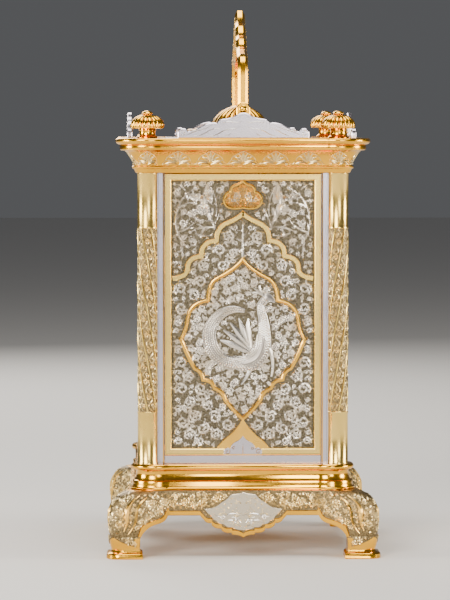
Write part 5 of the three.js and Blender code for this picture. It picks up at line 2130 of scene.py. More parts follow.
@dataclass
class Cornice:
    """Cornice with a row of palmettes in its hollow."""

    chaser: Chaser
    low: float = 140.75
    motif_rise: float = 0.5

    def palmette(self) -> tuple[np.ndarray, list[tuple[int, ...]]]:
        """One palmette: upright leaf, three pairs of side leaves and two curls.

        Returns:
            Points and faces.
        """
        strokes = [tapered(np.array([(0, 1.6), (0, 4.9)]), (0.15, 0.5, 0.5, 0.1), 0.6)]
        for side in (-1, 1):
            for bend, tip in (((0.9, 3.4), (1.7, 4.3)), ((2.0, 2.7), (3.1, 3.1)), ((3.2, 1.5), (4.4, 1.9))):
                path = curve_through([(0.3, 1.2), (*bend, *tip)]) * np.array([side, 1])
                strokes.append(tapered(path, (0.14, 0.36, 0.42, 0.1), 0.5))
            edge = curve_through([(0.2, 0.3), (2.4, 1.6, 5.0, 0.5)]) * np.array([side, 1])
            strokes.append(tapered(edge, (0.2, 0.42, 0.3, 0.12), 0.5))
            rim = curve_through([(0.0, 5.1), (1.4, 4.4, 2.2, 3.9), (3.6, 3.4, 4.2, 2.4),
                                 (4.6, 1.2, 5.6, 0.5)])
            strokes.append(tapered(rim * np.array([side, 1]), (0.14, 0.18, 0.14), 0.5))
            strokes.append(spiral((side * 1.5, 2.2), 0.7, 0.5, side))
            strokes.append(spiral((side * 3.7, 0.5), 0.5, 0.5, -side))
        return self.chaser.raise_strokes(strokes, 12, leaf=0.0, flower=1.6, height=0.9)

    def build(self) -> Form:
        """Builds the cornice with its palmettes.

        Returns:
            The form, in place.
        """
        moulding = Moulding(CORNICE_PROFILE, 0.0)
        form = moulding.build(Finish.GILT)
        points, faces = self.palmette()
        quarter = Form()
        for wide, gap, count in ((False, 11.7, 3), (True, 13.2, 3)):
            for number in range(count):
                copy = points + np.array([number * gap, 0, 0])
                quarter.add(copy, faces, Finish.SKIRT_RELIEF, self.on_hollow(moulding, wide))
        for turn in (0.0, math.pi / 2):
            quarter.add(points, faces, Finish.SKIRT_RELIEF, self.on_bulge(moulding, turn))
        for _, side_x, side_y in CORNERS:
            form.take(quarter, into_corner(side_x, side_y))
        return form

    def on_hollow(self, moulding: Moulding, wide: bool) -> Placing:
        """Places flat work in the hollow of a straight side.

        Args:
            moulding: The cornice's moulding.
            wide: Whether the side is a wide one.

        Returns:
            Function that places flat points.
        """
        def put(points: np.ndarray) -> np.ndarray:
            """Puts flat points in their place on the clock.

            Args:
                points: Flat points, with their height as the third value.

            Returns:
                The points in the clock's frame.
            """
            z = self.low + points[:, 1]
            out = moulding.edge_at(z) + points[:, 2] * self.motif_rise * 1.4 - 0.02
            z = z - points[:, 2] * self.motif_rise * 0.5
            if wide:
                return np.stack([points[:, 0], moulding.axis_y + out, z], axis=1)
            return np.stack([moulding.axis_x + out, points[:, 0], z], axis=1)
        return put

    def on_bulge(self, moulding: Moulding, turn: float) -> Placing:
        """Places flat work in the hollow of a column's bulge, squeezed a little to fit.

        Args:
            moulding: The cornice's moulding.
            turn: Angle of the work round the bulge.

        Returns:
            Function that places flat points.
        """
        def put(points: np.ndarray) -> np.ndarray:
            """Puts flat points in their place on the clock.

            Args:
                points: Flat points, with their height as the third value.

            Returns:
                The points in the clock's frame.
            """
            z = self.low + points[:, 1]
            radius = moulding.edge_at(z) + moulding.bulge + points[:, 2] * self.motif_rise * 1.4
            angle = turn + 0.8 * points[:, 0] / (moulding.edge_at(z) + moulding.bulge)
            return np.stack([moulding.axis_x + radius * np.cos(angle),
                             moulding.axis_y + radius * np.sin(angle),
                             z - points[:, 2] * self.motif_rise * 0.5], axis=1)
        return put


def build_base(chaser: Chaser) -> None:
    """Skirt, shoes, base moulding and cornice.

    Args:
        chaser: Makes the relief.
    """
    Skirt(chaser).build().piece("skirt_chased", "case", "gilt", "skirt")
    maker = FootShoe()
    shoe = maker.build()
    shoe.take(maker.sock(Skirt(chaser)))
    for name, side_x, side_y in CORNERS:
        copy = Form()
        copy.take(shoe, into_corner(side_x, side_y))
        copy.piece(f"foot_shoe_{name}_polished", "case", "gilt", f"foot_shoe_{name}")
    Moulding(BASE_PROFILE, 3.0).build(Finish.GILT).piece("base_moulding_turned", "case", "gilt",
                                                         "base_moulding")
    Cornice(chaser).build().piece("cornice_chased", "case", "gilt", "cornice")


# ------------------------------------------------------------------ roof


@dataclass
class Crest:
    """Pierced-looking crest plate with a scalloped top and engraved clouds."""

    chaser: Chaser
    roof: float = 150.5
    thickness: float = 1.8
    bevel: float = 0.3

    def outline(self) -> np.ndarray:
        """Scalloped outline above the roof, counter-clockwise."""
        half = curve_through([
            (-23.5, 0), (-23.9, 3.2, -22.3, 3.5), (-20.6, 3.8, -19.7, 2.5), (-17.6, 2.8, -15.4, 4.1),
            (-13.4, 5.5, -10.3, 5.7), (-9.6, 5.4), (-9.2, 6.8, -6.6, 7.0), (-4.2, 7.2, -2.6, 8.4),
                              (-1.2, 9.0, 0, 9.2),
        ])
        return mirrored_path(half)[::-1]

    def clouds(self) -> list[Stroke]:
        """Engraved cloud lines that echo the outline.

        Returns:
            The strokes of both halves.
        """
        rows = (
            ((-20.6, 1.0), (-17.6, 2.6, -14.8, 3.2), (-12.6, 3.8, -11.4, 4.7)),
            ((-17.8, 0.8), (-14.8, 1.0, -12.6, 2.6), (-10.4, 3.8, -8.6, 3.5)),
            ((-12.8, 0.7), (-10.2, 0.8, -8.4, 2.0), (-6.4, 3.4, -4.2, 3.3), (-2.2, 3.4, -1.0, 4.4)),
            ((-7.6, 5.4), (-5.0, 6.4, -3.0, 5.7), (-1.6, 5.4, -0.6, 6.3)),
            ((-6.8, 0.9), (-5.0, 1.0, -4.4, 2.0)),
            ((-19.4, 2.4), (-18.2, 3.0, -16.8, 2.9)),
        )
        strokes = []
        for side in (-1, 1):
            for row in rows:
                path = curve_through(row) * np.array([-side, 1])
                strokes.append(tapered(path, (0.05, 0.16, 0.12, 0.05), 0.5))
            curl = spiral((-side * 21.6, 1.9), 1.3, 1.6, side)
            curl.widths = np.full(len(curl.path), 0.13)
            strokes.append(curl)
        return strokes

    def build(self, length: float) -> Form:
        """Builds the crest flat, as (u, height above the roof, depth).

        Args:
            length: Share by which it is longer than the narrow side's crest.

        Returns:
            The form, lying flat.
        """
        form = Form()
        flat: Placing = lambda p: p
        scale = np.array([length, 1])
        form.slab(self.outline() * scale, 0.0, self.thickness, Finish.SILVER, flat, self.bevel, both=True)
        for stroke_face, finish in ((self.thickness, Finish.SILVER_RELIEF), (0.0, Finish.SILVER_RELIEF)):
            points, faces = self.chaser.raise_strokes(self.clouds(), 5, leaf=0.0, flower=0.0, height=0.7)
            points[:, 0] *= length
            points[:, 2] += stroke_face
            form.add(points, faces, finish)
        return form


def gadroon(form: Form, axis: Point2, profile: Sequence[tuple[float, float, float]], ribs: int,
            finish: "Finish") -> None:
    """Adds ribbed turned work.

    Args:
        form: Form that takes it.
        axis: Where its upright line stands.
        profile: (radius, height, depth of the furrows as a share of the radius).
        ribs: Number of ribs.
        finish: Its finish.
    """
    angles = np.arange(ribs * 8) * 2 * math.pi / (ribs * 8)
    wave = np.abs(np.sin(angles * ribs / 2))
    rows = []
    for radius, z, depth in profile:
        reach = radius * (1 - depth + depth * np.sqrt(wave))
        rows.append(np.stack([axis[0] + reach * np.cos(angles), axis[1] + reach * np.sin(angles),
                              np.full_like(angles, z)], axis=1))
    form.grid(np.array(rows), finish, round_v=True, caps=True)


@dataclass
class RoofOrnaments:
    """Finials on the four corners and the ribbed dome between the crests."""

    roof: float = 150.5
    axis_x: float = 39.6
    axis_y: float = 34.4

    def finial(self) -> Form:
        """Right rear finial: turned neck, ribbed cap and button.

        Returns:
            The form, in place.
        """
        form = Form()
        z = self.roof
        axis = (self.axis_x, self.axis_y)
        form.turned([(0, z), (3.7, z), (3.8, z + 0.3), (3.6, z + 0.65), (3.2, z + 0.8), (2.95, z + 1.2),
                     (2.85, z + 2.4), (3.0, z + 3.0), (3.2, z + 3.5), (0, z + 3.6)], axis, Finish.GILT, 40)
        gadroon(form, axis, [
            (0.0, z + 3.4, 0), (5.0, z + 3.45, 0.02), (5.9, z + 3.6, 0.05), (6.1, z + 4.1, 0.10),
            (6.05, z + 5.0, 0.11), (5.8, z + 5.9, 0.11), (5.2, z + 6.8, 0.11), (4.2, z + 7.6, 0.11),
            (2.9, z + 8.2, 0.10), (1.7, z + 8.5, 0.05), (0.0, z + 8.55, 0),
        ], 18, Finish.GILT)
        form.turned([(0, z + 8.3), (1.3, z + 8.3), (1.2, z + 8.6), (1.9, z + 8.75), (2.0, z + 9.05),
                     (1.6, z + 9.5), (0.8, z + 9.8), (0, z + 9.9)], axis, Finish.GILT, 24)
        return form

    def dome(self) -> Form:
        """Ribbed dome on a plain ring.

        Returns:
            The form, in place.
        """
        form = Form()
        z = self.roof
        form.turned([(0, z), (10.7, z), (10.8, z + 0.3), (10.8, z + 0.9), (10.4, z + 1.2), (10.0, z + 1.6),
                     (0, z + 1.7)], (0, 0), Finish.GILT, 64)
        gadroon(form, (0, 0), [
            (0.0, z + 1.5, 0), (9.8, z + 1.5, 0.02), (10.4, z + 2.2, 0.06), (10.6, z + 3.6, 0.08),
            (10.4, z + 5.0, 0.08), (9.7, z + 6.6, 0.08), (8.4, z + 8.3, 0.08), (6.6, z + 9.8, 0.08),
            (4.4, z + 11.0, 0.07), (2.4, z + 11.7, 0.04), (0.0, z + 12.0, 0),
        ], 22, Finish.GILT)
        return form


@dataclass
class Handle:
    """Folding handle with a stepped, pointed crown and a vine along each face."""

    chaser: Chaser
    pivot: float = 160.9
    outer: float = 39.2
    arm: float = 3.2
    thickness: float = 3.6
    bevel: float = 0.95

    def edge(self, inner: bool) -> np.ndarray:
        """Right half of an edge, from the arm's foot to the crown's middle.

        Args:
            inner: Whether it is the inner edge.

        Returns:
            Points of the edge.
        """
        low = self.pivot - self.thickness / 2
        if inner:
            x = self.outer - self.arm
            return curve_through([(x, low), (x, 172.5), (x, 178.0, 29, 178.2), (20, 178.8, 17.6, 183.0),
                                  (10.4, 183.4, 8.6, 187.6), (3, 188.4, 0, 192.2)], 8)
        x = self.outer
        return curve_through([(x, low), (x, 172.5), (x, 181.4, 30.5, 181.4), (27.6, 182.7),
                              (21.6, 183.2, 20, 187.0), (13, 187.2, 11, 191.6), (3.6, 192.6, 0, 197.5)], 8)

    def build(self) -> Form:
        """Builds the handle, upright.

        Returns:
            The form, in place.
        """
        form = Form()
        half = self.thickness / 2
        outer, inner = self.edge(False), self.edge(True)
        outline = np.vstack([outer, outer[-2::-1] * (-1, 1), inner[:-1] * (-1, 1), inner[::-1]])
        form.slab(outline, -half, half, Finish.GILT, on_front(1, 0.0), self.bevel, both=True)
        middle = np.stack([np.interp(np.linspace(0, 1, 40), np.linspace(0, 1, len(e)), e[:, k])
                           for e in (outer, inner) for k in (0, 1)], axis=1)
        centre = (middle[:, :2] + middle[:, 2:]) / 2
        centre = resampled(centre[6:], 0.8)
        sway = 0.45 * np.sin(np.arange(len(centre)) * 1.2)[:, None]
        vine = centre + mitre_normals(centre, False) * sway
        strokes = [Stroke(vine[:-1], np.full(len(vine) - 1, 0.17)),
                   Stroke(vine[:-1] * (-1, 1), np.full(len(vine) - 1, 0.17))]
        points, faces = self.chaser.raise_strokes(strokes, 15, leaf=4.4, flower=0.0, spacing=1.3,
                                                  height=0.8)
        for side in (-1, 1):
            form.add(points, faces, Finish.GILT_RELIEF, on_front(side, half))
        return form

    def foot(self) -> Form:
        """Right foot: arched block that carries the pivot, with a plinth.

        Returns:
            The form, in place.
        """
        form = Form()
        half, base = 2.45, 150.5
        arc = [(half * math.cos(a), self.pivot + half * math.sin(a)) for a in np.linspace(0, math.pi, 19)]
        outline = np.array([*arc, (-half, base + 2.8), (-3.1, base + 1.9), (-3.4, base + 1.2), (-3.4, base),
                            (3.4, base), (3.4, base + 1.2), (3.1, base + 1.9), (half, base + 2.8)])
        start = self.outer + 0.3
        form.slab(outline, start, start + 4.0, Finish.GILT, on_side(1, 0.0), 0.3, both=True)
        return form

    def pin(self) -> Form:
        """Right pivot pin with a low domed head.

        Returns:
            The form, in place.
        """
        form = Form()
        start, head = self.outer - self.arm - 0.4, self.outer + 4.4
        across: Placing = lambda p: np.stack([p[:, 2], p[:, 0], p[:, 1] + self.pivot], axis=1)
        form.turned([(0, start), (0.7, start), (1.0, start + 0.3), (1.0, head - 0.1), (1.35, head - 0.1),
                     (1.4, head + 0.1), (1.1, head + 0.4), (0.5, head + 0.55), (0, head + 0.6)],
                    (0, 0), Finish.GILT, 24, across)
        return form


def build_roof(chaser: Chaser) -> None:
    """Crests, finials, dome and handle.

    Args:
        chaser: Makes the relief.
    """
    crest = Crest(chaser)
    for name, side in (("left", -1), ("right", 1)):
        low, _ = span("crest_right")
        form = Form()
        form.take(crest.build(1.0), lambda p, s=side, x=low[0]: np.stack(
            [s * (x + p[:, 2]), p[:, 0], crest.roof + p[:, 1]], axis=1))
        form.piece(f"crest_{name}_engraved", "case", "silvered", f"crest_{name}")
    for name, side in (("front", -1), ("rear", 1)):
        low, _ = span("crest_rear")
        form = Form()
        form.take(crest.build(1.151), lambda p, s=side, y=low[1]: np.stack(
            [p[:, 0], s * (y + p[:, 2]), crest.roof + p[:, 1]], axis=1))
        form.piece(f"crest_{name}_engraved", "case", "silvered", f"crest_{name}")
    ornaments = RoofOrnaments()
    finial = ornaments.finial()
    for name, side_x, side_y in CORNERS:
        form = Form()
        form.take(finial, into_corner(side_x, side_y))
        form.piece(f"finial_{name}_ribbed", "case", "gilt", f"finial_{name}")
    ornaments.dome().piece("roof_dome_ribbed", "case", "gilt", "roof_dome")
    handle = Handle(chaser)
    handle.build().piece("handle_chased", "handle", "gilt", "handle")
    foot, pin = handle.foot(), handle.pin()
    for name, change in (("right", None), ("left", mirror_x)):
        for node, made, slot in (("handle_foot", foot, "gilt"), ("handle_pin", pin, "gilt")):
            form = Form()
            form.take(made, change)
            form.piece(f"{node}_{name}_shaped", "case", slot, f"{node}_{name}")


# ------------------------------------------------------------------ dial side


def rectangle(half_width: float, low: float, high: float) -> np.ndarray:
    """Upright rectangle about u = 0, counter-clockwise."""
    return np.array([(-half_width, low), (half_width, low), (half_width, high), (-half_width, high)])


def circle(centre: Point2, radius: float, steps: int = 48) -> np.ndarray:
    """Circle, counter-clockwise."""
    angles = np.arange(steps) * 2 * math.pi / steps
    return np.stack([centre[0] + radius * np.cos(angles), centre[1] + radius * np.sin(angles)], axis=1)


def moulded_frame(form: Form, outer: np.ndarray, width: float, low: float, high: float,
                  place: Placing) -> None:
    """Mitred frame with a round outer bead, a cove and a fine sight edge.

    Args:
        form: Form that takes it.
        outer: Outer edge, counter-clockwise.
        width: Width of the frame.
        low: Height of its back.
        high: Height of its face.
        place: Puts the flat work in its place.
    """
    drop = high - low
    section = [(0.0, low), (0.0, high - 0.5), (0.15, high - 0.15), (0.5, high), (1.1, high),
               (1.45, high - 0.2),
               (1.6, high - 0.55), (2.2, high - 0.5), (width - 1.9, high - 0.5), (width - 1.5, high - 0.15),
               (width - 1.0, high - 0.1), (width - 0.55, high - 0.5), (width - 0.2, low + 0.45 * drop),
               (width, low)]
    form.band(outer, section, Finish.PALE_GILT, place, closed=True)


class HandStyle(Enum):
    """The two hands: their length, widest half-width and where they stand."""

    HOUR = (15.5, 1.5, 28.4)
    MINUTE = (22.4, 0.95, 29.5)


@dataclass
class Dial:
    """Enamel dial with Roman hours, a chased mask round it and two blued hands."""

    chaser: Chaser
    centre_z: float = 90.0
    radius: float = 25.5
    bezel: float = 23.5
    face: float = 26.7
    mask_face: float = 27.4
    numeral_low: float = 15.9
    numeral_high: float = 20.3
    track: float = 21.6
    stroke: float = 0.08

    def numeral_strokes(self, hour: int) -> list[tuple[Point2, Point2, float]]:
        """Strokes of a Roman hour.

        Args:
            hour: 1 to 12.

        Returns:
            (foot, head, half-width) of each stroke, the numeral standing upright about u = 0.
        """
        text = ("", "I", "II", "III", "IIII", "V", "VI", "VII", "VIII", "IX", "X", "XI", "XII")[hour]
        widths = {"I": 0.85, "V": 2.1, "X": 2.1}
        total = sum(widths[letter] for letter in text)
        at, strokes = -total / 2, []
        low, high = self.numeral_low, self.numeral_high
        for letter in text:
            middle, reach = at + widths[letter] / 2, widths[letter] / 2 - 0.3
            if letter == "I":
                strokes.append(((middle, low), (middle, high), 0.24))
            elif letter == "V":
                strokes += [((middle, low), (middle - reach, high), 0.26),
                            ((middle, low), (middle + reach, high), 0.1)]
            else:
                strokes += [((middle + reach, low), (middle - reach, high), 0.26),
                            ((middle - reach, low), (middle + reach, high), 0.1)]
            at += widths[letter]
        for level in (low, high):
            strokes.append(((-total / 2 + 0.1, level), (total / 2 - 0.1, level), 0.09))
        return strokes

    def turned_in(self, points: np.ndarray, turn: float) -> np.ndarray:
        """Turns flat points clockwise about the dial's centre.

        Args:
            points: Flat points about the dial's centre.
            turn: Angle, clockwise from twelve.

        Returns:
            The turned points.
        """
        cos, sin = math.cos(turn), math.sin(turn)
        u, v = points[:, 0], points[:, 1]
        return np.stack([u * cos + v * sin, self.centre_z - u * sin + v * cos], axis=1)

    def build_plate(self) -> Form:
        """Enamel plate, numerals and minute track.

        Returns:
            The form, in place.
        """
        form = Form()
        place = on_front(-1, 0.0)
        form.slab(circle((0, self.centre_z), self.radius, 96), self.face - 1.0, self.face, Finish.ENAMEL,
                  place, 0.15)
        for hour in range(1, 13):
            for number, (foot, head, half) in enumerate(self.numeral_strokes(hour)):
                along = np.array(head) - np.array(foot)
                across = half * np.array([-along[1], along[0]]) / np.linalg.norm(along)
                corners = np.array([foot + across, foot - across, head - across, head + across])
                outline = self.turned_in(corners, hour * math.pi / 6)
                lift = self.stroke + 0.004 * number
                form.slab(outline, self.face - 0.05, self.face + lift, Finish.NUMERAL_AND_SLOT_SHADE, place)
        for radius in (self.track, self.track + 1.1):
            ring = [(-0.05, self.face - 0.05), (-0.05, self.face + 0.07), (0.05, self.face + 0.07),
                    (0.05, self.face - 0.05)]
            form.band(circle((0, self.centre_z), radius, 96), ring, Finish.NUMERAL_AND_SLOT_SHADE, place, closed=True)
        for count, half in ((60, 0.07), (12, 0.2)):
            points, faces = ring_of_marks(self.track + 0.55, count, half)
            points = points + np.array([0, self.centre_z, self.face])
            form.add(points, faces, Finish.NUMERAL_AND_SLOT_SHADE, place)
        return form

    def build_mask(self) -> Form:
        """Silvered mask with arabesque, and a gilt bezel round the dial.

        Returns:
            The form, in place.
        """
        form = Form()
        low, high = span("dial_mask")
        place = on_front(-1, 0.0)
        middle = (0, self.centre_z)
        steps = 96
        inner = circle(middle, self.bezel, steps)
        half, bottom, top = high[0], low[2] - self.centre_z, high[2] - self.centre_z
        out = []
        for angle in np.arange(steps) * 2 * math.pi / steps:
            c, s = math.cos(angle), math.sin(angle)
            reach = min(half / max(abs(c), 1e-9), (top if s > 0 else -bottom) / max(abs(s), 1e-9))
            out.append((reach * c, self.centre_z + reach * s))
        outer = np.array(out)
        rows = [[(*p, height) for p in edge] for edge, height in (
            (outer, self.mask_face - 0.5), (outer, self.mask_face), (inner, self.mask_face),
                                                                  (inner, self.mask_face - 0.5))]
        form.grid(np.array(rows), Finish.SILVER_GROUND, place, round_u=True, round_v=True)
        bezel = [(-1.2, self.mask_face - 0.1), (-1.1, self.mask_face + 0.35), (-0.7, self.mask_face + 0.6),
                 (-0.3, self.mask_face + 0.4), (0.0, self.mask_face + 0.1), (0.0, self.mask_face - 0.1)]
        form.band(circle(middle, self.bezel, steps), bezel, Finish.GILT, place, closed=True)
        arc = circle(middle, self.bezel + 1.6, 72)[18:55]
        window = rectangle(27.6, 40.0, 132.2)
        field = np.vstack([[window[3], (-0.2, 132.2)], arc, [(-0.2, 40.0), window[0]]])
        self.chaser.carpet(form, field, [], 3.4, 0.4, 71, Finish.SILVER_RELIEF,
                           on_front(-1, self.mask_face), height=0.75)
        return form

    def build_hand(self, style: HandStyle, turn: float) -> Form:
        """Blued hand with a pierced-looking leaf near its tip and a domed boss.

        Args:
            style: Which hand.
            turn: Angle from twelve, clockwise.

        Returns:
            The form, in place.
        """
        form = Form()
        length, wide, face = style.value
        half = curve_through([
            (0, length), (0.2, length - 2.0, 0.32, length * 0.78),
                              (wide, length * 0.74, wide * 0.8, length * 0.62),
            (0.35, length * 0.56, 0.32, length * 0.5), (0.5, 2.4),
        ])
        edge = np.vstack([half, half[1:][::-1] * (-1, 1)])
        outline = self.turned_in(edge[::-1], turn)
        place = on_front(-1, 0.0)
        form.slab(outline, face, face + 0.42, Finish.BLUED, place, bevel=0.12)
        ring = [(-0.001, face), (-0.001, face + 0.35), (0.3, face + 0.5), (1.3, face + 0.5), (1.3, face)]
        form.band(circle((0, self.centre_z), 2.75, 40), ring, Finish.BLUED, place, closed=True)
        return form


def ring_of_marks(radius: float, count: int, half_width: float) -> tuple[np.ndarray, list[tuple[int, ...]]]:
    """Sets marks evenly round a circle with geometry nodes.

    Args:
        radius: Radius of the circle.
        count: Number of marks.
        half_width: Half-width of a mark.

    Returns:
        Points as (u, v, height) and faces.
    """
    base = bpy.data.objects.new("marks", bpy.data.meshes.new("marks"))
    bpy.context.scene.collection.objects.link(base)
    tree = bpy.data.node_groups.get("ring_of_marks") or marks_tree()
    return run_tree(base, tree, {
        "Radius": radius, "Count": count, "Width": 2 * half_width, "Material": Finish.NUMERAL_AND_SLOT_SHADE.material,
    })


def marks_tree() -> bpy.types.NodeTree:
    """Tree that stands small blocks round a circle.

    Returns:
        The tree; its inputs are named after what they size.
    """
    work = NodeWork("ring_of_marks", {
        "Radius": ("NodeSocketFloat", 1.0), "Count": ("NodeSocketInt", 12),
                                      "Width": ("NodeSocketFloat", 0.1),
        "Length": ("NodeSocketFloat", 1.1), "Height": ("NodeSocketFloat", 0.14),
                                      "Material": ("NodeSocketMaterial", None),
    })
    given = work.start.outputs
    ring = work.node("GeometryNodeMeshCircle", {"Vertices": given["Count"], "Radius": given["Radius"]},
                     fill_type="NONE")
    place = work.node("GeometryNodeInputPosition").outputs["Position"]
    turn = work.node("FunctionNodeAlignRotationToVector", {"Vector": place}, axis="Y", pivot_axis="Z")
    size = work.node("ShaderNodeCombineXYZ",
                     {"X": given["Width"], "Y": given["Length"], "Z": given["Height"]})
    block = work.node("GeometryNodeMeshCube", {"Size": size.outputs[0]})
    marks = work.node("GeometryNodeInstanceOnPoints", {
        "Points": ring.outputs["Mesh"], "Instance": block.outputs["Mesh"],
                                                       "Rotation": turn.outputs["Rotation"],
    })
    return work.finish(marks.outputs["Instances"])


def pane(node: str, side: int, bevel: float) -> Form:
    """Bevelled pane in the place of a CAD pane.

    Args:
        node: CAD node.
        side: -1 on the dial side, 1 on the door side.
        bevel: Width of its bevel.

    Returns:
        The form, in place.
    """
    form = Form()
    low, high = span(node)
    near, far = sorted((side * low[1], side * high[1]))
    form.slab(rectangle(high[0], low[2], high[2]), near, far, Finish.GLASS, on_front(side, 0.0), bevel,
              both=True)
    return form


@dataclass
class RearDoor:
    """Door with a moulded frame, a pin hinge and a turned knob."""

    axis_x: float = -31.7
    axis_y: float = 33.4
    pin: float = 0.8
    width: float = 5.6

    def build_frame(self) -> Form:
        """Moulded frame and its two hinge pins.

        Returns:
            The form, in place.
        """
        form = Form()
        low, high = span("rear_door_frame")
        bottom, top = low[2] + 1.4, high[2] - 1.4
        moulded_frame(form, rectangle(high[0], bottom, top), self.width, low[1], high[1], on_front(1, 0.0))
        for foot, head in ((low[2], bottom + 1.0), (top - 1.0, high[2])):
            form.turned([(0, foot), (self.pin - 0.15, foot), (self.pin, foot + 0.2), (self.pin, head - 0.2),
                         (self.pin - 0.15, head), (0, head)], (self.axis_x, self.axis_y), Finish.STEEL, 20)
        for z in (bottom + 8, (bottom + top) / 2, top - 8):
            form.turned([(0, z - 3), (0.9, z - 3), (1.0, z - 2.8), (1.0, z + 2.8), (0.9, z + 3),
                         (0, z + 3)],
                        (self.axis_x - 0.35, high[1] - 1.0), Finish.GILT, 20)
        return form

    def build_knob(self) -> Form:
        """Turned knob with a rose and a button.

        Returns:
            The form, in place.
        """
        form = Form()
        low, high = span("door_knob")
        x, z = (low[0] + high[0]) / 2, (low[2] + high[2]) / 2
        start, end, reach = low[1], high[1], (high[0] - low[0]) / 2
        profile = [(0, start), (1.5, start), (1.5, start + 0.25), (1.0, start + 0.5), (0.8, start + 1.2),
                   (1.0, start + 1.7), (reach - 0.2, start + 2.1), (reach, start + 2.7),
                   (reach - 0.15, start + 3.2),
                   (1.1, end - 0.15), (0.5, end), (0, end)]
        across: Placing = lambda p: np.stack([p[:, 0] + x, p[:, 2], p[:, 1] + z], axis=1)
        form.turned(profile, (0, 0), Finish.GILT, 28, across)
        return form


# ------------------------------------------------------------------ movement


@dataclass
class MovementDetail:
    """Screws, jewels, ratchet, click and balance spring of the movement."""

    pillar_x: float = 19.5
    pillar_levels: tuple[float, float] = (36.0, 113.0)
    arbor_z: float = 70.2
    ratchet: float = 7.2
    spring_turns: float = 9.0
    pillar_screw: float = 2.1
    small_screw: float = 1.3
    settings: tuple[Point2, ...] = ((-6.61, 98.54), (-3.03, 106.99), (0.0, 90.0))
    click_screw: Point2 = (10.4, 76.4)

    def screw(self, form: Form, x: float, z: float, radius: float, finish: "Finish") -> None:
        """Domed screw head with a slot of painted shade, on the rear plate: the slot is a thin black strip
        laid over the head.

        Args:
            form: Form to add to.
            x: Place of its axis across the dial.
            z: Height of its axis.
            radius: Radius of the head.
            finish: Finish of the head.
        """
        plate = span("movement_rear_plate")[1][1]
        across: Placing = lambda p: np.stack([p[:, 0] + x, p[:, 2] + plate, p[:, 1] + z], axis=1)
        form.turned([(0, -0.05), (radius, -0.05), (radius, 0.45), (radius - 0.25, 0.75), (0, 0.85)], (0, 0),
                    finish,
                    24, across)
        # The slot is painted shade: a thin strip of black enamel stands on the dome where a cut slot would
        # lie in shadow.
        slot = rectangle(0.16, -radius * 0.8, radius * 0.8)
        turn = (x * 7 + z) % math.pi
        slot = slot @ np.array([[math.cos(turn), math.sin(turn)], [-math.sin(turn), math.cos(turn)]])
        form.slab(slot, 0.5, 0.87, Finish.NUMERAL_AND_SLOT_SHADE, across)

    def build_screws(self) -> Form:
        """Pillar screws, and the jewels' settings over the arbors.

        Returns:
            The form, in place.
        """
        form = Form()
        for x in (-self.pillar_x, self.pillar_x):
            for z in self.pillar_levels:
                self.screw(form, x, z, self.pillar_screw, Finish.BLUED)
        for x, z in self.settings:
            self.screw(form, x, z, self.small_screw, Finish.GILT)
        self.screw(form, *self.click_screw, self.small_screw, Finish.BLUED)
        return form

    def build_ratchet(self) -> Form:
        """Ratchet wheel on the winding arbor.

        Returns:
            The form, in place.
        """
        form = Form()
        teeth, plate = 26, span("movement_rear_plate")[1][1]
        outline = []
        for tooth in range(teeth):
            angle = 2 * math.pi * tooth / teeth
            outline.append((self.ratchet * math.cos(angle), self.arbor_z + self.ratchet * math.sin(angle)))
            angle += 2 * math.pi * 0.85 / teeth
            inner = self.ratchet - 0.9
            outline.append((inner * math.cos(angle), self.arbor_z + inner * math.sin(angle)))
        form.slab(np.array(outline), plate + 0.12, plate + 1.1, Finish.STEEL, on_front(1, 0.0), 0.08)
        return form

    def build_click(self) -> Form:
        """Click whose beak rests between two teeth of the ratchet, and its foot.

        Returns:
            The form, in place.
        """
        form = Form()
        plate = span("movement_rear_plate")[1][1]
        outline = curve_through([(11.6, 75.2), (12.4, 77.4, 10.4, 78.0), (8.4, 78.0, 8.2, 76.0),
                                 (7.2, 74.8, 6.9, 73.2),
                                 (9.4, 73.6, 11.6, 75.2)])[:-1]
        form.slab(outline, plate + 0.05, plate + 0.9, Finish.STEEL, on_front(1, 0.0), 0.1)
        return form

    def build_spring(self) -> Form:
        """Flat spiral balance spring between the wheel and its cock, made with geometry nodes.

        Returns:
            The form, in place.
        """
        form = Form()
        low, high = span("balance_wheel")
        centre = (low + high) / 2
        base = bpy.data.objects.new("spring", bpy.data.meshes.new("spring"))
        bpy.context.scene.collection.objects.link(base)
        points, faces = run_tree(base, spring_tree(), {
            "Turns": self.spring_turns, "Material": Finish.BLUED.material,
        })
        form.add(points + np.array([centre[0], centre[1], 124.6]), faces, Finish.BLUED)
        return form


def spring_tree() -> bpy.types.NodeTree:
    """Tree that winds a flat ribbon into a spiral.

    Returns:
        The tree; its inputs are named after what they size.
    """
    work = NodeWork("balance_spring", {
        "Turns": ("NodeSocketFloat", 9.0), "Inner": ("NodeSocketFloat", 0.9),
                                       "Outer": ("NodeSocketFloat", 4.0),
        "Thickness": ("NodeSocketFloat", 0.09), "Height": ("NodeSocketFloat", 0.3),
                                       "Material": ("NodeSocketMaterial", None),
    })
    given = work.start.outputs
    coil = work.node("GeometryNodeCurveSpiral", {
        "Resolution": 28, "Rotations": given["Turns"], "Start Radius": given["Inner"],
                                                 "End Radius": given["Outer"],
        "Height": 0.0,
    })
    upright = work.node("GeometryNodeSetCurveNormal", {"Curve": coil.outputs["Curve"]}, mode="Z_UP")
    section = work.node("GeometryNodeCurvePrimitiveQuadrilateral",
                        {"Width": given["Thickness"], "Height": given["Height"]})
    ribbon = work.node("GeometryNodeCurveToMesh", {
        "Curve": upright.outputs["Curve"], "Profile Curve": section.outputs["Curve"], "Fill Caps": True,
    })
    return work.finish(ribbon.outputs["Mesh"])


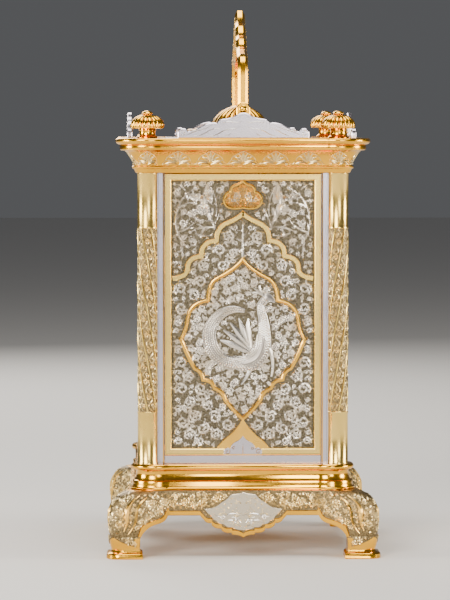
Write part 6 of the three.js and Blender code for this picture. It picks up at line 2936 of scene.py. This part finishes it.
def build_front(chaser: Chaser) -> None:
    """Dial side, rear door and the movement's details.

    Args:
        chaser: Makes the relief.
    """
    low, high = span("front_frame")
    form = Form()
    moulded_frame(form, rectangle(high[0], low[2], high[2]), 5.0, -high[1], -low[1], on_front(-1, 0.0))
    form.piece("front_frame_moulded", "case", "pale_gilt", "front_frame")
    pane("front_glass", -1, 0.5).piece("front_glass_bevelled", "case", "glass", "front_glass")
    dial = Dial(chaser)
    dial.build_mask().piece("dial_mask_chased", "case", "silvered", "dial_mask")
    dial.build_plate().piece("dial_enamelled", "case", "enamel", "dial")
    hour, minute = -math.pi / 3 + math.pi / 36, math.pi / 3
    dial.build_hand(HandStyle.HOUR, hour).piece("hour_hand_leaf", "hour_hand", "blued_steel", "hour_hand")
    dial.build_hand(HandStyle.MINUTE, minute).piece("minute_hand_leaf", "minute_hand", "blued_steel",
                                                    "minute_hand")
    door = RearDoor()
    door.build_frame().piece("rear_door_frame_moulded", "rear_door", "pale_gilt", "rear_door_frame")
    pane("rear_door_glass", 1, 0.5).piece("rear_door_glass_bevelled", "rear_door", "glass",
                                          "rear_door_glass")
    door.build_knob().piece("door_knob_turned", "rear_door", "gilt", "door_knob")
    detail = MovementDetail()
    detail.build_screws().piece("movement_screws", "case", "blued_steel")
    detail.build_ratchet().piece("winding_ratchet", "winding_arbor", "steel")
    detail.build_click().piece("winding_click", "case", "steel")
    detail.build_spring().piece("balance_spring", "balance", "blued_steel")


# ------------------------------------------------------------------ carried-over nodes


SLOT_FINISH = {
    "gilt": Finish.GILT, "pale_gilt": Finish.PALE_GILT, "silvered": Finish.SILVER,
    "movement_brass": Finish.BRASS, "steel": Finish.STEEL, "blued_steel": Finish.BLUED,
    "enamel": Finish.ENAMEL, "glass": Finish.GLASS,
}


def dress_nodes() -> None:
    """Gives every CAD node the finish of its slot in the record."""
    for row in frame["record"]["subparts"]:
        node = frame["nodes"][row["node"]]
        node.data.materials.clear()
        node.data.materials.append(SLOT_FINISH[row["material_slot"]].material)


def main() -> None:
    """Builds the clock's looks."""
    logging.basicConfig(level=logging.INFO, format="%(name)s: %(message)s")
    build_metal_wear()
    build_punched_ground()
    Studio().build()
    dress_nodes()
    chaser = Chaser()
    build_side_walls(chaser)
    build_corners(chaser)
    build_base(chaser)
    build_roof(chaser)
    build_front(chaser)
    clear_patterns()


if __name__ == "__main__":
    main()
